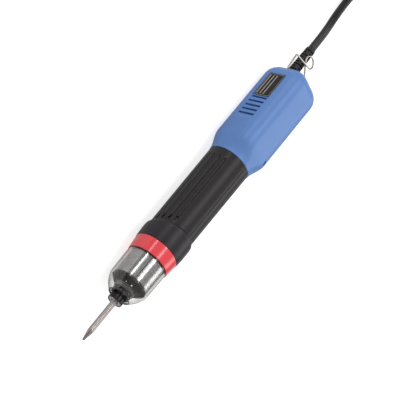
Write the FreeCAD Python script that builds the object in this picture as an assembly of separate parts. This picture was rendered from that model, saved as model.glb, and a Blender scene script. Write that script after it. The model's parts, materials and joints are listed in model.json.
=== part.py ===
import FreeCAD, Part
import math
import os

from FreeCAD import Vector

# Electric torque screwdriver, lying on the flat underside of its rear housing.
# The tool axis runs along X, the bit points to +X, the name plate faces -Y.
# All sizes are in millimetres.
os.makedirs("parts", exist_ok=True)

# Fits and gaps
RUNNING = 0.05
SEAM = 0.02
SLIDING = 0.1

# Rear housing: a round neck that flares into a rounded square
NECK_RADIUS = 18.9
HOUSING_STEP = 1.3
HOUSING_HALF = NECK_RADIUS + HOUSING_STEP
HOUSING_CORNER = 12.0
HOUSING_WALL = 2.0
NECK_FRONT = 51.5
FLARE_END = 34.0
FLAT_END = -33.0
DOME_RADIUS = 14.0
AXIS_Z = HOUSING_HALF

# Cooling louvres and name plate on the flank
LOUVRE_COUNT = 5
LOUVRE_FRONT = 13.4
LOUVRE_PITCH = 4.65
LOUVRE_HEIGHT = 16.0
LOUVRE_SLOT = 1.1
LOUVRE_RAMP = 2.6
PLATE_FRONT = -6.3
PLATE_LENGTH = 25.7
PLATE_HEIGHT = 16.6
PLATE_THICKNESS = 0.6
PLATE_RECESS = 0.45

# Grip: two half shells split on the upright middle plane
GRIP_FRONT = 140.0
GRIP_FRONT_RADIUS = 18.3
GRIP_STEP = 0.3
GRIP_REAR_RADIUS = NECK_RADIUS - GRIP_STEP
GRIP_WALL = 1.9
SPIGOT_RADIUS = NECK_RADIUS - HOUSING_WALL - SLIDING
SPIGOT_WALL = 1.8
SPIGOT_REAR = 27.0
FLUTE_COUNT = 5
FLUTE_STEP = 16.8
FLUTE_RADIUS = 1.3
FLUTE_DEPTH = 0.85
FLUTE_REAR = 60.0
VENT_CENTRE = 128.6
VENT_SLANT = 0.25
VENT_LENGTH = 4.4
VENT_WIDTH = 1.6

# Front collar with its slanted, rounded rear edge
COLLAR_FRONT = 150.7
COLLAR_FRONT_RADIUS = 19.7
COLLAR_RADIUS = 20.2
COLLAR_REAR = 132.5
COLLAR_SLANT = 0.2
COLLAR_EDGE = 3.6
COLLAR_BORE = 16.2
COLLAR_SPIGOT_RADIUS = 17.0
COLLAR_SPIGOT_LENGTH = 4.1

# Lock ring and clear cover
RING_LENGTH = 12.1
RING_FRONT_RADIUS = 18.3
RING_REAR_RADIUS = 19.5
COVER_RADIUS = 17.9
COVER_FRONT_RADIUS = 17.4
COVER_WALL = 1.5
COVER_CONE_REAR = 188.5
COVER_MOUTH = 200.0
COVER_MOUTH_RADIUS = 9.6
COVER_HOLE_RADIUS = 8.7
COVER_NECK_LENGTH = 7.6

# Nose housing: threaded tube, bulkhead and the skirt round the gears
NOSE_FRONT = 194.5
NOSE_RADIUS = 9.0
NOSE_BORE = 7.0
BULKHEAD_FRONT = 131.0
BULKHEAD_THICKNESS = 3.0
SKIRT_WALL = 1.5
SKIRT_REAR = 113.0
NOSE_THREAD_PITCH = 1.0

# Torque setting parts on the nose tube
NUT_FRONT = 191.0
NUT_LENGTH = 5.0
NUT_RADIUS = 15.2
NUT_NOSE_RADIUS = 11.4
NUT_CONE_LENGTH = 2.8
NUT_SLOTS = 12
NUT_SLOT_WIDTH = 1.8
CUP_LENGTH = 36.0
CUP_RADIUS = 15.3
CUP_WALL = 0.8
NUT_TRAVEL = 4.0
PRESSURE_PLATE_THICKNESS = 2.0
PRESSURE_PLATE_GAP = 2.0
TORQUE_SPRING_RADIUS = 11.8
TORQUE_SPRING_WIRE = 2.0
TORQUE_SPRING_TURNS = 12
PIN_COUNT = 6
PIN_CIRCLE = 12.8
PIN_RADIUS = 1.0
BALL_RADIUS = 1.25

# Planetary gears, fine-pitch involute teeth
MODULE = 0.5
PRESSURE_ANGLE = 20.0
SUN_TEETH = 15
PLANET_TEETH = 15
RING_TEETH = 45
PLANET_COUNT = 3
BACKLASH = 0.06
RING_GEAR_REAR = 115.4
RING_GEAR_LENGTH = 7.7
PLANET_WIDTH = 5.0
PLANET_REAR = 116.4
PLANET_PIN_RADIUS = 1.25
CARRIER_RADIUS = 10.2
CARRIER_THICKNESS = 2.5

# Output shaft and quick-change holder
SHAFT_RADIUS = 6.0
SHAFT_FRONT = 193.0
SHAFT_BORE_REAR = 160.0
HOLDER_HEX = 8.0
HOLDER_HEAD_RADIUS = 4.9
HOLDER_FRONT = 205.4
HOLDER_SHOULDER = 194.8
HOLDER_REAR = 170.0
PUSH_TRAVEL = 1.5
SLEEVE_FRONT = 205.6
SLEEVE_RADIUS = 6.4
SLEEVE_FLANGE_RADIUS = 8.2
SLEEVE_FLANGE_LENGTH = 2.6
SLEEVE_REAR = 196.2
SLEEVE_TRAVEL = 2.5
SLEEVE_SPRING_SOLID = 1.9
CLIP_THICKNESS = 0.8
CLIP_INSET = 0.2
CLIP_REAR = HOLDER_FRONT - CLIP_THICKNESS - CLIP_INSET
SLEEVE_STEP = CLIP_REAR - SLEEVE_TRAVEL - SLEEVE_SPRING_SOLID
RETAINING_BALL_X = 197.2
RETAINING_BALL_RADIUS = 1.15

# Phillips bit with a 6.35 mm hexagon end
BIT_LENGTH = 65.0
BIT_REAR = 181.2
BIT_HEX = 6.35
BIT_HEX_LENGTH = 24.4
BIT_SHANK_RADIUS = 2.5
BIT_POINT_LENGTH = 9.6
BIT_POINT_RADIUS = 0.8
BIT_FLUTE_WIDTH = 1.5
BIT_GROOVE_RADIUS = 2.3
BIT_GROOVE_LENGTH = 4.0

# Motor
MOTOR_RADIUS = 16.2
MOTOR_FRONT = 110.0
MOTOR_REAR = 62.0
MOTOR_CAN_WALL = 1.0
MOTOR_CAP_LENGTH = 4.0
STATOR_BORE = 8.6
STATOR_LENGTH = 30.0
STATOR_SLOTS = 6
WINDING_HEAD = 3.5
MAGNET_RADIUS = 8.0
ROTOR_SHAFT_RADIUS = 2.0
ROTOR_SHAFT_BORE = 1.3
ROTOR_SHAFT_REAR = 57.0
BEARING_RADIUS = 5.0
BEARING_LENGTH = 3.0
PUSH_ROD_RADIUS = 1.0
PUSH_ROD_REAR = 47.0

# Start switch behind the motor
SWITCH_LENGTH = 8.0
SWITCH_WIDTH = 12.0
SWITCH_HEIGHT = 7.0
PLUNGER_RADIUS = 1.4
PLUNGER_LENGTH = 2.6
BRACKET_THICKNESS = 1.5
BRACKET_LEG = 7.0

# Circuit board in the housing
BOARD_FRONT = 22.0
BOARD_LENGTH = 50.0
BOARD_WIDTH = 30.0
BOARD_THICKNESS = 1.6
BOARD_DROP = 9.0
BOARD_EDGE = 4.0
POST_RADIUS = 2.2
BOARD_SCREW_RADIUS = 1.0
BOARD_SCREW_HEAD = 1.9
BOARD_SCREW_BITE = 4.0
CAPACITOR_COUNT = 2
CAPACITOR_RADIUS = 4.0
CAPACITOR_HEIGHT = 11.0
TRANSISTOR_COUNT = 6
TRANSISTOR_HEIGHT = 1.8
CHIP_HEIGHT = 1.4
HEADER_HEIGHT = 6.0

# Direction switch on the far flank
DIRECTION_X = -19.0
KNOB_LENGTH = 6.0
KNOB_HEIGHT = 4.0
KNOB_PROUD = 1.2
KNOB_TRAVEL = 2.5
DIRECTION_BODY_LENGTH = 16.0
DIRECTION_BODY_DEPTH = 6.0
DIRECTION_BODY_HEIGHT = 8.0

# Housing screw on the upper corner
SCREW_X = 34.0
SCREW_TILT = 22.0
SCREW_HEAD_RADIUS = 1.9
SCREW_HEAD_LENGTH = 1.2
SCREW_SHANK_RADIUS = 0.9
SCREW_SINK = 0.5
SCREW_BITE = 1.4

# Strain relief below the tool axis
RELIEF_DROP = 9.9
RELIEF_BASE_RADIUS = 4.85
RELIEF_TIP_RADIUS = 4.1
RELIEF_BASE = -47.0
RELIEF_LENGTH = 34.0
RELIEF_RIBS = 8
RELIEF_PITCH = 2.8
RELIEF_SLOT = 1.1
RELIEF_SLOT_DEPTH = 1.3
RELIEF_FLANGE_RADIUS = 6.0
RELIEF_FLANGE_X = -37.5
RELIEF_FLANGE_LENGTH = 2.0

# Hanging bail bent from round wire
BAIL_WIRE_RADIUS = 0.7
BAIL_PIVOT_X = -43.0
BAIL_PIVOT_RISE = 0.8
BAIL_SIDE_GAP = 0.9
BAIL_PIN_LENGTH = 5.0
BAIL_REST_GAP = 0.3
BAIL_SHOULDER = 16.8
BAIL_SHOULDER_STEP = 1.2
BAIL_KNEE = 1.0
BAIL_BEND = 2.4
EYE_CENTRE = (26.6, 2.4)
EYE_RADIUS = 5.2

# Cord and its connector
CORD_RADIUS = 3.4
HANK_CENTRE = (-304.5, -8.0)
HANK_RUN = 115.0
HANK_FOLD = 21.6
HANK_LAYERS = 5
CONNECTOR_REAR = -174.0
CONNECTOR_SHIFT = 5.0
TIE_WIDTH = 8.0
TIE_THICKNESS = 1.2
TIE_GAP = 0.1
CONNECTOR_RADIUS = 7.0
CONNECTOR_LENGTH = 34.0
CONNECTOR_BOOT_LENGTH = 14.0
CONNECTOR_RING_RADIUS = 8.6
CONNECTOR_RING_LENGTH = 14.0
CONNECTOR_SEAT = 0.6
CONNECTOR_WALL = 1.0
CONNECTOR_SOCKET_DEPTH = 8.0
CONNECTOR_PINS = 6
CONNECTOR_PIN_RADIUS = 0.6
PIN_RING_RADIUS = 3.0

AXIS = Vector(1, 0, 0)
CENTRE = Vector(0, 0, AXIS_Z)

nodes = {}


# Turned pieces round the tool axis, from (x, radius) corners
def turned(corners, y=0.0, z=AXIS_Z):
    points = [Vector(x, 0, r) for x, r in corners]
    outline = Part.makePolygon(points + points[:1])
    solid = Part.Face(outline).revolve(Vector(0, 0, 0), AXIS, 360)
    solid.translate(Vector(0, y, z))
    return solid


def rod(x0, x1, radius, y=0.0, z=AXIS_Z):
    return Part.makeCylinder(radius, x1 - x0, Vector(x0, y, z), AXIS)


def pipe(x0, x1, outer, inner, y=0.0, z=AXIS_Z):
    return rod(x0, x1, outer, y, z).cut(rod(x0, x1, inner, y, z))


def block(x0, x1, y0, y1, z0, z1):
    return Part.makeBox(x1 - x0, y1 - y0, z1 - z0, Vector(x0, y0, z0))


def hexagon(x0, x1, across):
    corner = across / 2 / math.cos(math.radians(30))
    points = []
    for k in range(7):
        turn = math.radians(60 * k)
        points.append(Vector(x0, corner * math.sin(turn), AXIS_Z + corner * math.cos(turn)))
    return Part.Face(Part.makePolygon(points)).extrude(Vector(x1 - x0, 0, 0))


def turn_about_axis(shape, degrees):
    copy = shape.copy()
    copy.rotate(CENTRE, AXIS, degrees)
    return copy


def ring_pattern(shape, count, start=0.0):
    return [turn_about_axis(shape, start + 360.0 * k / count) for k in range(count)]


def on_circle(radius, degrees):
    turn = math.radians(degrees)
    return -radius * math.sin(turn), AXIS_Z + radius * math.cos(turn)


def fuse(shapes):
    return shapes[0].multiFuse(shapes[1:]).removeSplitter()


# Rounded square across the tool axis, four sides and four corner arcs
def rounded_square(x, half, corner):
    edges = []
    flat = half - corner
    for k in range(4):
        turn = math.radians(90 * k)
        side = Vector(0, math.cos(turn), math.sin(turn))
        up = Vector(0, -math.sin(turn), math.cos(turn))
        low = CENTRE + Vector(x, 0, 0) + side * half - up * flat
        high = CENTRE + Vector(x, 0, 0) + side * half + up * flat
        middle = CENTRE + Vector(x, 0, 0) + (side + up) * flat
        bend = middle + (side + up) * (corner / math.sqrt(2))
        after = CENTRE + Vector(x, 0, 0) + up * half + side * flat
        edges.append(Part.LineSegment(low, high).toShape())
        edges.append(Part.Arc(high, bend, after).toShape())
    return Part.Wire(edges)


def eased(t):
    return t * t * (3 - 2 * t)


def housing_form(inset, front):
    round_gap = 0.1
    neck = []
    for k in range(4):
        t = k / 3
        half = NECK_RADIUS + (HOUSING_HALF - NECK_RADIUS) * eased(t) - inset
        tight = NECK_RADIUS - inset - round_gap
        corner = tight + (HOUSING_CORNER - inset - tight) * eased(t)
        neck.append(rounded_square(NECK_FRONT + (FLARE_END - NECK_FRONT) * t, half, corner))
    parts = [Part.makeLoft(neck, True, False)]
    if front > NECK_FRONT:
        start = rounded_square(NECK_FRONT, NECK_RADIUS - inset, NECK_RADIUS - inset - round_gap)
        parts.append(Part.Face(start).extrude(Vector(front - NECK_FRONT, 0, 0)))
    middle = rounded_square(FLAT_END, HOUSING_HALF - inset, HOUSING_CORNER - inset)
    parts.append(Part.Face(middle).extrude(Vector(FLARE_END - FLAT_END, 0, 0)))
    dome = []
    radius = DOME_RADIUS - inset
    for degrees in (0, 22, 42, 60, 75, 87):
        turn = math.radians(degrees)
        shrink = radius * (1 - math.cos(turn))
        corner = max(HOUSING_CORNER - inset - shrink * 0.72, 2.2)
        half = HOUSING_HALF - inset - shrink
        dome.append(rounded_square(FLAT_END - radius * math.sin(turn), half, corner))
    parts.append(Part.makeLoft(dome, True, False))
    return fuse(parts)


# Involute teeth: an external outline, also used to cut the ring gear
def gear_outline(teeth, root, tip, widen, x, y, z):
    pitch = MODULE * teeth / 2
    slope = math.radians(PRESSURE_ANGLE)
    base = pitch * math.cos(slope)
    at_pitch = math.pi / (2 * teeth) + widen / (2 * pitch)

    def half_angle(radius):
        angle = math.acos(min(1.0, base / max(radius, base)))
        return at_pitch + (math.tan(slope) - slope) - (math.tan(angle) - angle)

    def place(radius, turn):
        return Vector(x, y - radius * math.sin(turn), z + radius * math.cos(turn))

    edges = []
    middle = (root + tip) / 2
    for k in range(teeth):
        aim = 2 * math.pi * k / teeth
        following = 2 * math.pi * (k + 1) / teeth
        rise = [place(r, aim - half_angle(r)) for r in (root, middle, tip)]
        fall = [place(r, aim + half_angle(r)) for r in (tip, middle, root)]
        gap = place(root, (aim + following) / 2)
        onward = place(root, following - half_angle(root))
        edges.append(Part.Arc(*rise).toShape())
        edges.append(Part.Arc(rise[2], place(tip, aim), fall[0]).toShape())
        edges.append(Part.Arc(*fall).toShape())
        edges.append(Part.Arc(fall[2], gap, onward).toShape())
    return Part.Wire(edges)


def gear(teeth, x0, x1, bore, y=0.0, z=AXIS_Z):
    pitch = MODULE * teeth / 2
    outline = gear_outline(teeth, pitch - 1.25 * MODULE, pitch + MODULE, -BACKLASH, x0, y, z)
    solid = Part.Face(outline).extrude(Vector(x1 - x0, 0, 0))
    return solid.cut(rod(x0, x1, bore, y, z))


# Coil spring drawn as its round turns lying against a thin core
def spring(x0, x1, mean_radius, wire, turns):
    pitch = (x1 - x0) / turns
    profile = []
    for k in range(turns):
        left = x0 + k * pitch
        profile.append((left, mean_radius + wire * 0.15))
        profile.append((left + pitch * 0.25, mean_radius + wire / 2))
        profile.append((left + pitch * 0.75, mean_radius + wire / 2))
    profile.append((x1, mean_radius + wire * 0.15))
    profile.append((x1, mean_radius - wire / 2))
    profile.append((x0, mean_radius - wire / 2))
    return turned(profile)


# Round wire or cord along straight runs joined by tangent arcs
def rounded_path(points, radii):
    edges = []
    here = points[0]
    for k in range(1, len(points) - 1):
        back = (points[k - 1] - points[k]).normalize()
        ahead = (points[k + 1] - points[k]).normalize()
        half_turn = (math.pi - back.getAngle(ahead)) / 2
        reach = radii[k - 1] * math.tan(half_turn)
        enter = points[k] + back * reach
        leave = points[k] + ahead * reach
        inward = (back + ahead).normalize()
        centre = points[k] + inward * (radii[k - 1] / math.cos(half_turn))
        edges.append(Part.LineSegment(here, enter).toShape())
        edges.append(Part.Arc(enter, centre - inward * radii[k - 1], leave).toShape())
        here = leave
    edges.append(Part.LineSegment(here, points[-1]).toShape())
    return Part.Wire(edges)


def tube_along(points, radii, radius):
    path = rounded_path(points, radii)
    facing = points[1] - points[0]
    ring = Part.Wire([Part.Circle(points[0], facing, radius).toShape()])
    return path.makePipeShell([ring], True, True), path.Length


# Rear housing with louvres, plate recess, screw bore, switch slot and cord hole
def rear_housing():
    solid = housing_form(0.0, NECK_FRONT).cut(housing_form(HOUSING_WALL, NECK_FRONT + 1))
    top = AXIS_Z - BOARD_DROP
    for px, py in board_screw_places():
        post = Part.makeCylinder(POST_RADIUS, top - HOUSING_WALL / 2, Vector(px, py, HOUSING_WALL / 2))
        depth = BOARD_SCREW_BITE + 1
        hole = Part.makeCylinder(BOARD_SCREW_RADIUS, depth, Vector(px, py, top - depth))
        solid = solid.fuse(post).cut(hole)
    cutters = []
    for side in (-1, 1):
        for k in range(LOUVRE_COUNT):
            cutters.append(louvre(LOUVRE_FRONT - k * LOUVRE_PITCH, side))
    face = -HOUSING_HALF
    cutters.append(block(PLATE_FRONT - PLATE_LENGTH, PLATE_FRONT, face - 1, face + PLATE_RECESS,
                         AXIS_Z - PLATE_HEIGHT / 2, AXIS_Z + PLATE_HEIGHT / 2))
    reach = KNOB_LENGTH / 2 + KNOB_TRAVEL + SLIDING
    rise = KNOB_HEIGHT / 2 + SLIDING
    cutters.append(block(DIRECTION_X - reach, DIRECTION_X + reach, HOUSING_HALF - HOUSING_WALL - 1,
                         HOUSING_HALF + 1, AXIS_Z - rise, AXIS_Z + rise))
    cutters.append(rod(RELIEF_BASE - 1, RELIEF_FLANGE_X, RELIEF_BASE_RADIUS + SEAM, 0,
                       AXIS_Z - RELIEF_DROP))
    cutters += screw_bores()
    pivot = Vector(BAIL_PIVOT_X, -HOUSING_HALF, AXIS_Z + BAIL_PIVOT_RISE)
    cutters.append(Part.makeCylinder(BAIL_WIRE_RADIUS + RUNNING, 2 * HOUSING_HALF, pivot, Vector(0, 1, 0)))
    return solid.cut(cutters)


# One louvre: a ramp that leads into a narrow slot through the wall
def louvre(x, side):
    outside = side * (HOUSING_HALF + 1)
    surface = side * HOUSING_HALF
    inside = side * (HOUSING_HALF - HOUSING_WALL - 1)
    half = LOUVRE_SLOT / 2
    low = AXIS_Z - LOUVRE_HEIGHT / 2
    deep = side * (HOUSING_HALF - HOUSING_WALL * 0.6)
    ramp_end = x + half + LOUVRE_RAMP
    points = [Vector(x - half, inside, low), Vector(x - half, outside, low), Vector(ramp_end, outside, low),
              Vector(ramp_end - LOUVRE_RAMP * 0.2, surface, low), Vector(x + half, deep, low),
              Vector(x + half, inside, low)]
    outline = Part.makePolygon(points + points[:1])
    return Part.Face(outline).extrude(Vector(0, 0, LOUVRE_HEIGHT))


def screw_line():
    aim = math.radians(SCREW_TILT)
    outward = Vector(0, math.sin(aim), math.cos(aim))
    flat = HOUSING_HALF - HOUSING_CORNER
    surface = CENTRE + Vector(SCREW_X, flat, flat) + outward * HOUSING_CORNER
    return surface - outward * SCREW_SINK, outward


# The screw is as long as it takes to bite into the grip's spigot
def screw_length():
    head_top, outward = screw_line()
    from_axis = head_top - CENTRE - Vector(SCREW_X, 0, 0)
    along = from_axis.dot(outward)
    bite = SPIGOT_RADIUS - SCREW_BITE
    return along - math.sqrt(along ** 2 - from_axis.dot(from_axis) + bite ** 2)


def screw_bores():
    head_top, outward = screw_line()
    head = Part.makeCylinder(SCREW_HEAD_RADIUS + SEAM, SCREW_HEAD_LENGTH + 5,
                             head_top - outward * SCREW_HEAD_LENGTH, outward)
    deep = screw_length() + SEAM
    shank = Part.makeCylinder(SCREW_SHANK_RADIUS + SEAM, deep + 2, head_top - outward * deep, outward)
    return [head, shank]


def housing_screw():
    head_top, outward = screw_line()
    head_base = head_top - outward * SCREW_HEAD_LENGTH
    head = Part.makeCylinder(SCREW_HEAD_RADIUS, SCREW_HEAD_LENGTH, head_base, outward)
    length = screw_length()
    shank = Part.makeCylinder(SCREW_SHANK_RADIUS, length, head_top - outward * length, outward)
    across = block(-SCREW_HEAD_RADIUS, SCREW_HEAD_RADIUS, -0.25, 0.25, -0.6, 0.1)
    along = block(-0.25, 0.25, -SCREW_HEAD_RADIUS, SCREW_HEAD_RADIUS, -0.6, 0.1)
    drive = across.fuse(along)
    drive.rotate(Vector(0, 0, 0), AXIS, -SCREW_TILT)
    drive.translate(head_top)
    return head.fuse(shank).cut(drive)


def name_plate():
    y = -HOUSING_HALF + PLATE_RECESS
    plate = block(PLATE_FRONT - PLATE_LENGTH + SEAM, PLATE_FRONT - SEAM, y - PLATE_THICKNESS, y,
                  AXIS_Z - PLATE_HEIGHT / 2 + SEAM, AXIS_Z + PLATE_HEIGHT / 2 - SEAM)
    corners = [edge for edge in plate.Edges if abs(edge.tangentAt(0).y) > 0.9]
    return plate.makeFillet(1.2, corners)


# Grip tube with flutes on both flanks, vent slots at their front ends
def grip_tube():
    taper = (GRIP_REAR_RADIUS - GRIP_FRONT_RADIUS) / (GRIP_FRONT - NECK_FRONT)
    profile = [(GRIP_FRONT, GRIP_FRONT_RADIUS - GRIP_WALL), (GRIP_FRONT, GRIP_FRONT_RADIUS),
               (NECK_FRONT + SEAM, GRIP_REAR_RADIUS), (NECK_FRONT + SEAM, SPIGOT_RADIUS),
               (SPIGOT_REAR, SPIGOT_RADIUS), (SPIGOT_REAR, SPIGOT_RADIUS - SPIGOT_WALL),
               (MOTOR_REAR - MOTOR_CAP_LENGTH - SEAM, SPIGOT_RADIUS - SPIGOT_WALL),
               (MOTOR_REAR - MOTOR_CAP_LENGTH - SEAM, GRIP_FRONT_RADIUS - GRIP_WALL)]
    solid = turned(profile)
    cutters = []
    for side in (90, -90):
        for k in range(FLUTE_COUNT):
            degrees = side + (k - (FLUTE_COUNT - 1) / 2) * FLUTE_STEP
            rise = math.cos(math.radians(degrees)) * GRIP_FRONT_RADIUS
            front = VENT_CENTRE - VENT_SLANT * rise
            surface = GRIP_REAR_RADIUS - taper * (front - NECK_FRONT)
            y, z = on_circle(surface + FLUTE_RADIUS - FLUTE_DEPTH, degrees)
            bar = rod(FLUTE_REAR, front, FLUTE_RADIUS, y, z)
            end = Part.makeSphere(FLUTE_RADIUS, Vector(FLUTE_REAR, y, z))
            slot = block(front - VENT_LENGTH / 2, front + VENT_LENGTH / 2, -VENT_WIDTH / 2, VENT_WIDTH / 2,
                         AXIS_Z + GRIP_FRONT_RADIUS - GRIP_WALL - 1, AXIS_Z + GRIP_REAR_RADIUS + 1)
            cutters += [bar, end, turn_about_axis(slot, degrees)]
    cutters += screw_bores()
    return solid.cut(cutters)


def grip_shells():
    tube = grip_tube()
    size = 2 * COLLAR_RADIUS
    left = tube.common(block(SPIGOT_REAR - 1, GRIP_FRONT + 1, -size, -SEAM / 2, -size, size + AXIS_Z))
    right = tube.common(block(SPIGOT_REAR - 1, GRIP_FRONT + 1, SEAM / 2, size, -size, size + AXIS_Z))
    return left, right


# Collar: turned bell, its rear edge cut on a slant and rounded
def front_collar():
    rear = COLLAR_REAR - 2 * COLLAR_RADIUS * COLLAR_SLANT
    bell = turned([(COLLAR_FRONT, 0), (COLLAR_FRONT, COLLAR_FRONT_RADIUS), (COLLAR_FRONT - 7, COLLAR_RADIUS),
                   (rear, COLLAR_RADIUS), (rear, 0)])
    size = 3 * COLLAR_RADIUS
    keep = Part.makeBox(size, 2 * size, 2 * size, Vector(0, -size, -size))
    keep.rotate(Vector(0, 0, 0), Vector(0, 1, 0), -math.degrees(math.atan(COLLAR_SLANT)))
    keep.translate(Vector(COLLAR_REAR, 0, AXIS_Z))
    bell = bell.common(keep)
    rim = [edge for edge in bell.Edges if edge.BoundBox.XMax < COLLAR_FRONT - 8 and edge.Length > size]
    bell = bell.makeFillet(COLLAR_EDGE, rim)
    spigot = rod(COLLAR_FRONT, COLLAR_FRONT + COLLAR_SPIGOT_LENGTH, COLLAR_SPIGOT_RADIUS)
    bore = rod(rear - 1, COLLAR_FRONT + COLLAR_SPIGOT_LENGTH, COLLAR_BORE)
    seat = rod(rear - 1, GRIP_FRONT + SEAM, GRIP_FRONT_RADIUS + 2 * SEAM)
    return bell.fuse(spigot).cut([bore, seat])


def lock_ring():
    bore = COLLAR_SPIGOT_RADIUS + SLIDING
    rear = COLLAR_FRONT + SEAM
    front = COLLAR_FRONT + RING_LENGTH
    return turned([(rear, bore), (rear, RING_REAR_RADIUS - 0.3), (rear + 0.4, RING_REAR_RADIUS),
                   (front - 0.4, RING_FRONT_RADIUS + 0.1), (front, RING_FRONT_RADIUS - 0.3), (front, bore)])


# Clear cover: neck inside the ring, cylinder, slightly crowned cone and mouth
def clear_cover():
    seat = COLLAR_FRONT + RING_LENGTH + SEAM
    neck = COLLAR_SPIGOT_RADIUS
    inner = neck - COVER_WALL + 0.4
    bulge_x = (COVER_CONE_REAR + COVER_MOUTH) / 2
    bulge = (COVER_FRONT_RADIUS + COVER_MOUTH_RADIUS) / 2 + 0.9
    return turned([(seat - COVER_NECK_LENGTH, inner), (seat - COVER_NECK_LENGTH, neck), (seat, neck),
                   (seat, COVER_RADIUS), (COVER_CONE_REAR, COVER_FRONT_RADIUS), (bulge_x, bulge),
                   (COVER_MOUTH, COVER_MOUTH_RADIUS), (COVER_MOUTH, COVER_HOLE_RADIUS),
                   (COVER_MOUTH - 1.2, COVER_HOLE_RADIUS), (bulge_x - 0.8, bulge - COVER_WALL),
                   (COVER_CONE_REAR - 0.8, COVER_FRONT_RADIUS - COVER_WALL),
                   (seat + 8, inner)])


# Threaded nose tube, bulkhead with pin holes, and gear skirt in one casting
def nose_housing():
    back = BULKHEAD_FRONT - BULKHEAD_THICKNESS
    outer = GRIP_FRONT_RADIUS - GRIP_WALL - SEAM
    inner = outer - SKIRT_WALL
    profile = [(SKIRT_REAR, inner), (SKIRT_REAR, outer)]
    profile += [(BULKHEAD_FRONT, outer), (BULKHEAD_FRONT, NOSE_RADIUS)]
    x = NUT_FRONT - NUT_LENGTH - NUT_TRAVEL
    while x < NOSE_FRONT - NOSE_THREAD_PITCH / 2:
        profile.append((x, NOSE_RADIUS))
        profile.append((x + NOSE_THREAD_PITCH / 2, NOSE_RADIUS - 0.4))
        x += NOSE_THREAD_PITCH
    profile += [(NOSE_FRONT, NOSE_RADIUS - 0.5), (NOSE_FRONT, NOSE_BORE), (back, NOSE_BORE), (back, inner)]
    hole = rod(back - 1, BULKHEAD_FRONT + 1, PIN_RADIUS + RUNNING, 0, AXIS_Z + PIN_CIRCLE)
    return turned(profile).cut(ring_pattern(hole, PIN_COUNT))


def torque_nut():
    rear = NUT_FRONT - NUT_LENGTH
    bore = NOSE_RADIUS + RUNNING
    solid = turned([(rear, bore), (rear, NUT_RADIUS), (NUT_FRONT - NUT_CONE_LENGTH, NUT_RADIUS),
                    (NUT_FRONT, NUT_NOSE_RADIUS), (NUT_FRONT, bore)])
    slot = block(NUT_FRONT - NUT_CONE_LENGTH, NUT_FRONT + 1, -NUT_SLOT_WIDTH / 2, NUT_SLOT_WIDTH / 2,
                 AXIS_Z + bore + 1.2, AXIS_Z + NUT_RADIUS + 1)
    return solid.cut(ring_pattern(slot, NUT_SLOTS))


def spring_cup():
    front = NUT_FRONT - NUT_LENGTH - SEAM
    rear = front - CUP_LENGTH
    bore = NOSE_RADIUS + RUNNING
    return turned([(rear, CUP_RADIUS - CUP_WALL), (rear, CUP_RADIUS), (front - 0.6, CUP_RADIUS),
                   (front, CUP_RADIUS - 0.6), (front, bore), (front - CUP_WALL, bore),
                   (front - CUP_WALL, CUP_RADIUS - CUP_WALL)])


def pressure_plate():
    x0 = BULKHEAD_FRONT + PRESSURE_PLATE_GAP
    return pipe(x0, x0 + PRESSURE_PLATE_THICKNESS, PIN_CIRCLE + PIN_RADIUS + 0.4, NOSE_RADIUS + SLIDING)


def torque_spring():
    x0 = BULKHEAD_FRONT + PRESSURE_PLATE_GAP + PRESSURE_PLATE_THICKNESS + SEAM
    x1 = NUT_FRONT - NUT_LENGTH - CUP_WALL - 2 * SEAM
    return spring(x0, x1, TORQUE_SPRING_RADIUS, TORQUE_SPRING_WIRE, TORQUE_SPRING_TURNS)


def clutch_ball_x():
    return RING_GEAR_REAR + RING_GEAR_LENGTH + BALL_RADIUS + SEAM


def thrust_pins():
    x0 = clutch_ball_x() + BALL_RADIUS + SEAM
    x1 = BULKHEAD_FRONT + PRESSURE_PLATE_GAP - SEAM
    return Part.makeCompound(ring_pattern(rod(x0, x1, PIN_RADIUS, 0, AXIS_Z + PIN_CIRCLE), PIN_COUNT))


def clutch_balls():
    ball = Part.makeSphere(BALL_RADIUS, Vector(clutch_ball_x(), 0, AXIS_Z + PIN_CIRCLE))
    return Part.makeCompound(ring_pattern(ball, PIN_COUNT))


# Ring gear: inside teeth, and cam bumps on its front face between the balls
def ring_gear():
    pitch = MODULE * RING_TEETH / 2
    outer = GRIP_FRONT_RADIUS - GRIP_WALL - SEAM - SKIRT_WALL - RUNNING
    body = rod(RING_GEAR_REAR, RING_GEAR_REAR + RING_GEAR_LENGTH, outer)
    root_radius = pitch + 1.25 * MODULE
    space = gear_outline(RING_TEETH, pitch - MODULE, root_radius, BACKLASH, RING_GEAR_REAR, 0, AXIS_Z)
    body = body.cut(Part.Face(space).extrude(Vector(RING_GEAR_LENGTH, 0, 0)))
    front = RING_GEAR_REAR + RING_GEAR_LENGTH
    bump = Part.makeCylinder(0.9, 1.8, Vector(front - 0.4, 0, AXIS_Z + PIN_CIRCLE - 0.9), Vector(0, 0, 1))
    trim = pipe(front - 2, front + 2, outer, pitch + 1.25 * MODULE)
    return fuse([body] + [b.common(trim) for b in ring_pattern(bump, PIN_COUNT, 180.0 / PIN_COUNT)])


def planet_gear(index):
    y, z = on_circle(MODULE * (SUN_TEETH + PLANET_TEETH) / 2, 360.0 * index / PLANET_COUNT)
    front = PLANET_REAR + PLANET_WIDTH
    wheel = gear(PLANET_TEETH, PLANET_REAR, front, PLANET_PIN_RADIUS + RUNNING, 0, AXIS_Z)
    wheel.translate(Vector(0, 0, MODULE * (SUN_TEETH + PLANET_TEETH) / 2))
    return turn_about_axis(wheel, 360.0 * index / PLANET_COUNT)


# The sun gear is turned half a tooth so that its teeth meet the planets' gaps
def sun_gear():
    wheel = gear(SUN_TEETH, PLANET_REAR - 0.4, PLANET_REAR + PLANET_WIDTH + 0.2, ROTOR_SHAFT_RADIUS)
    return wheel


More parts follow.
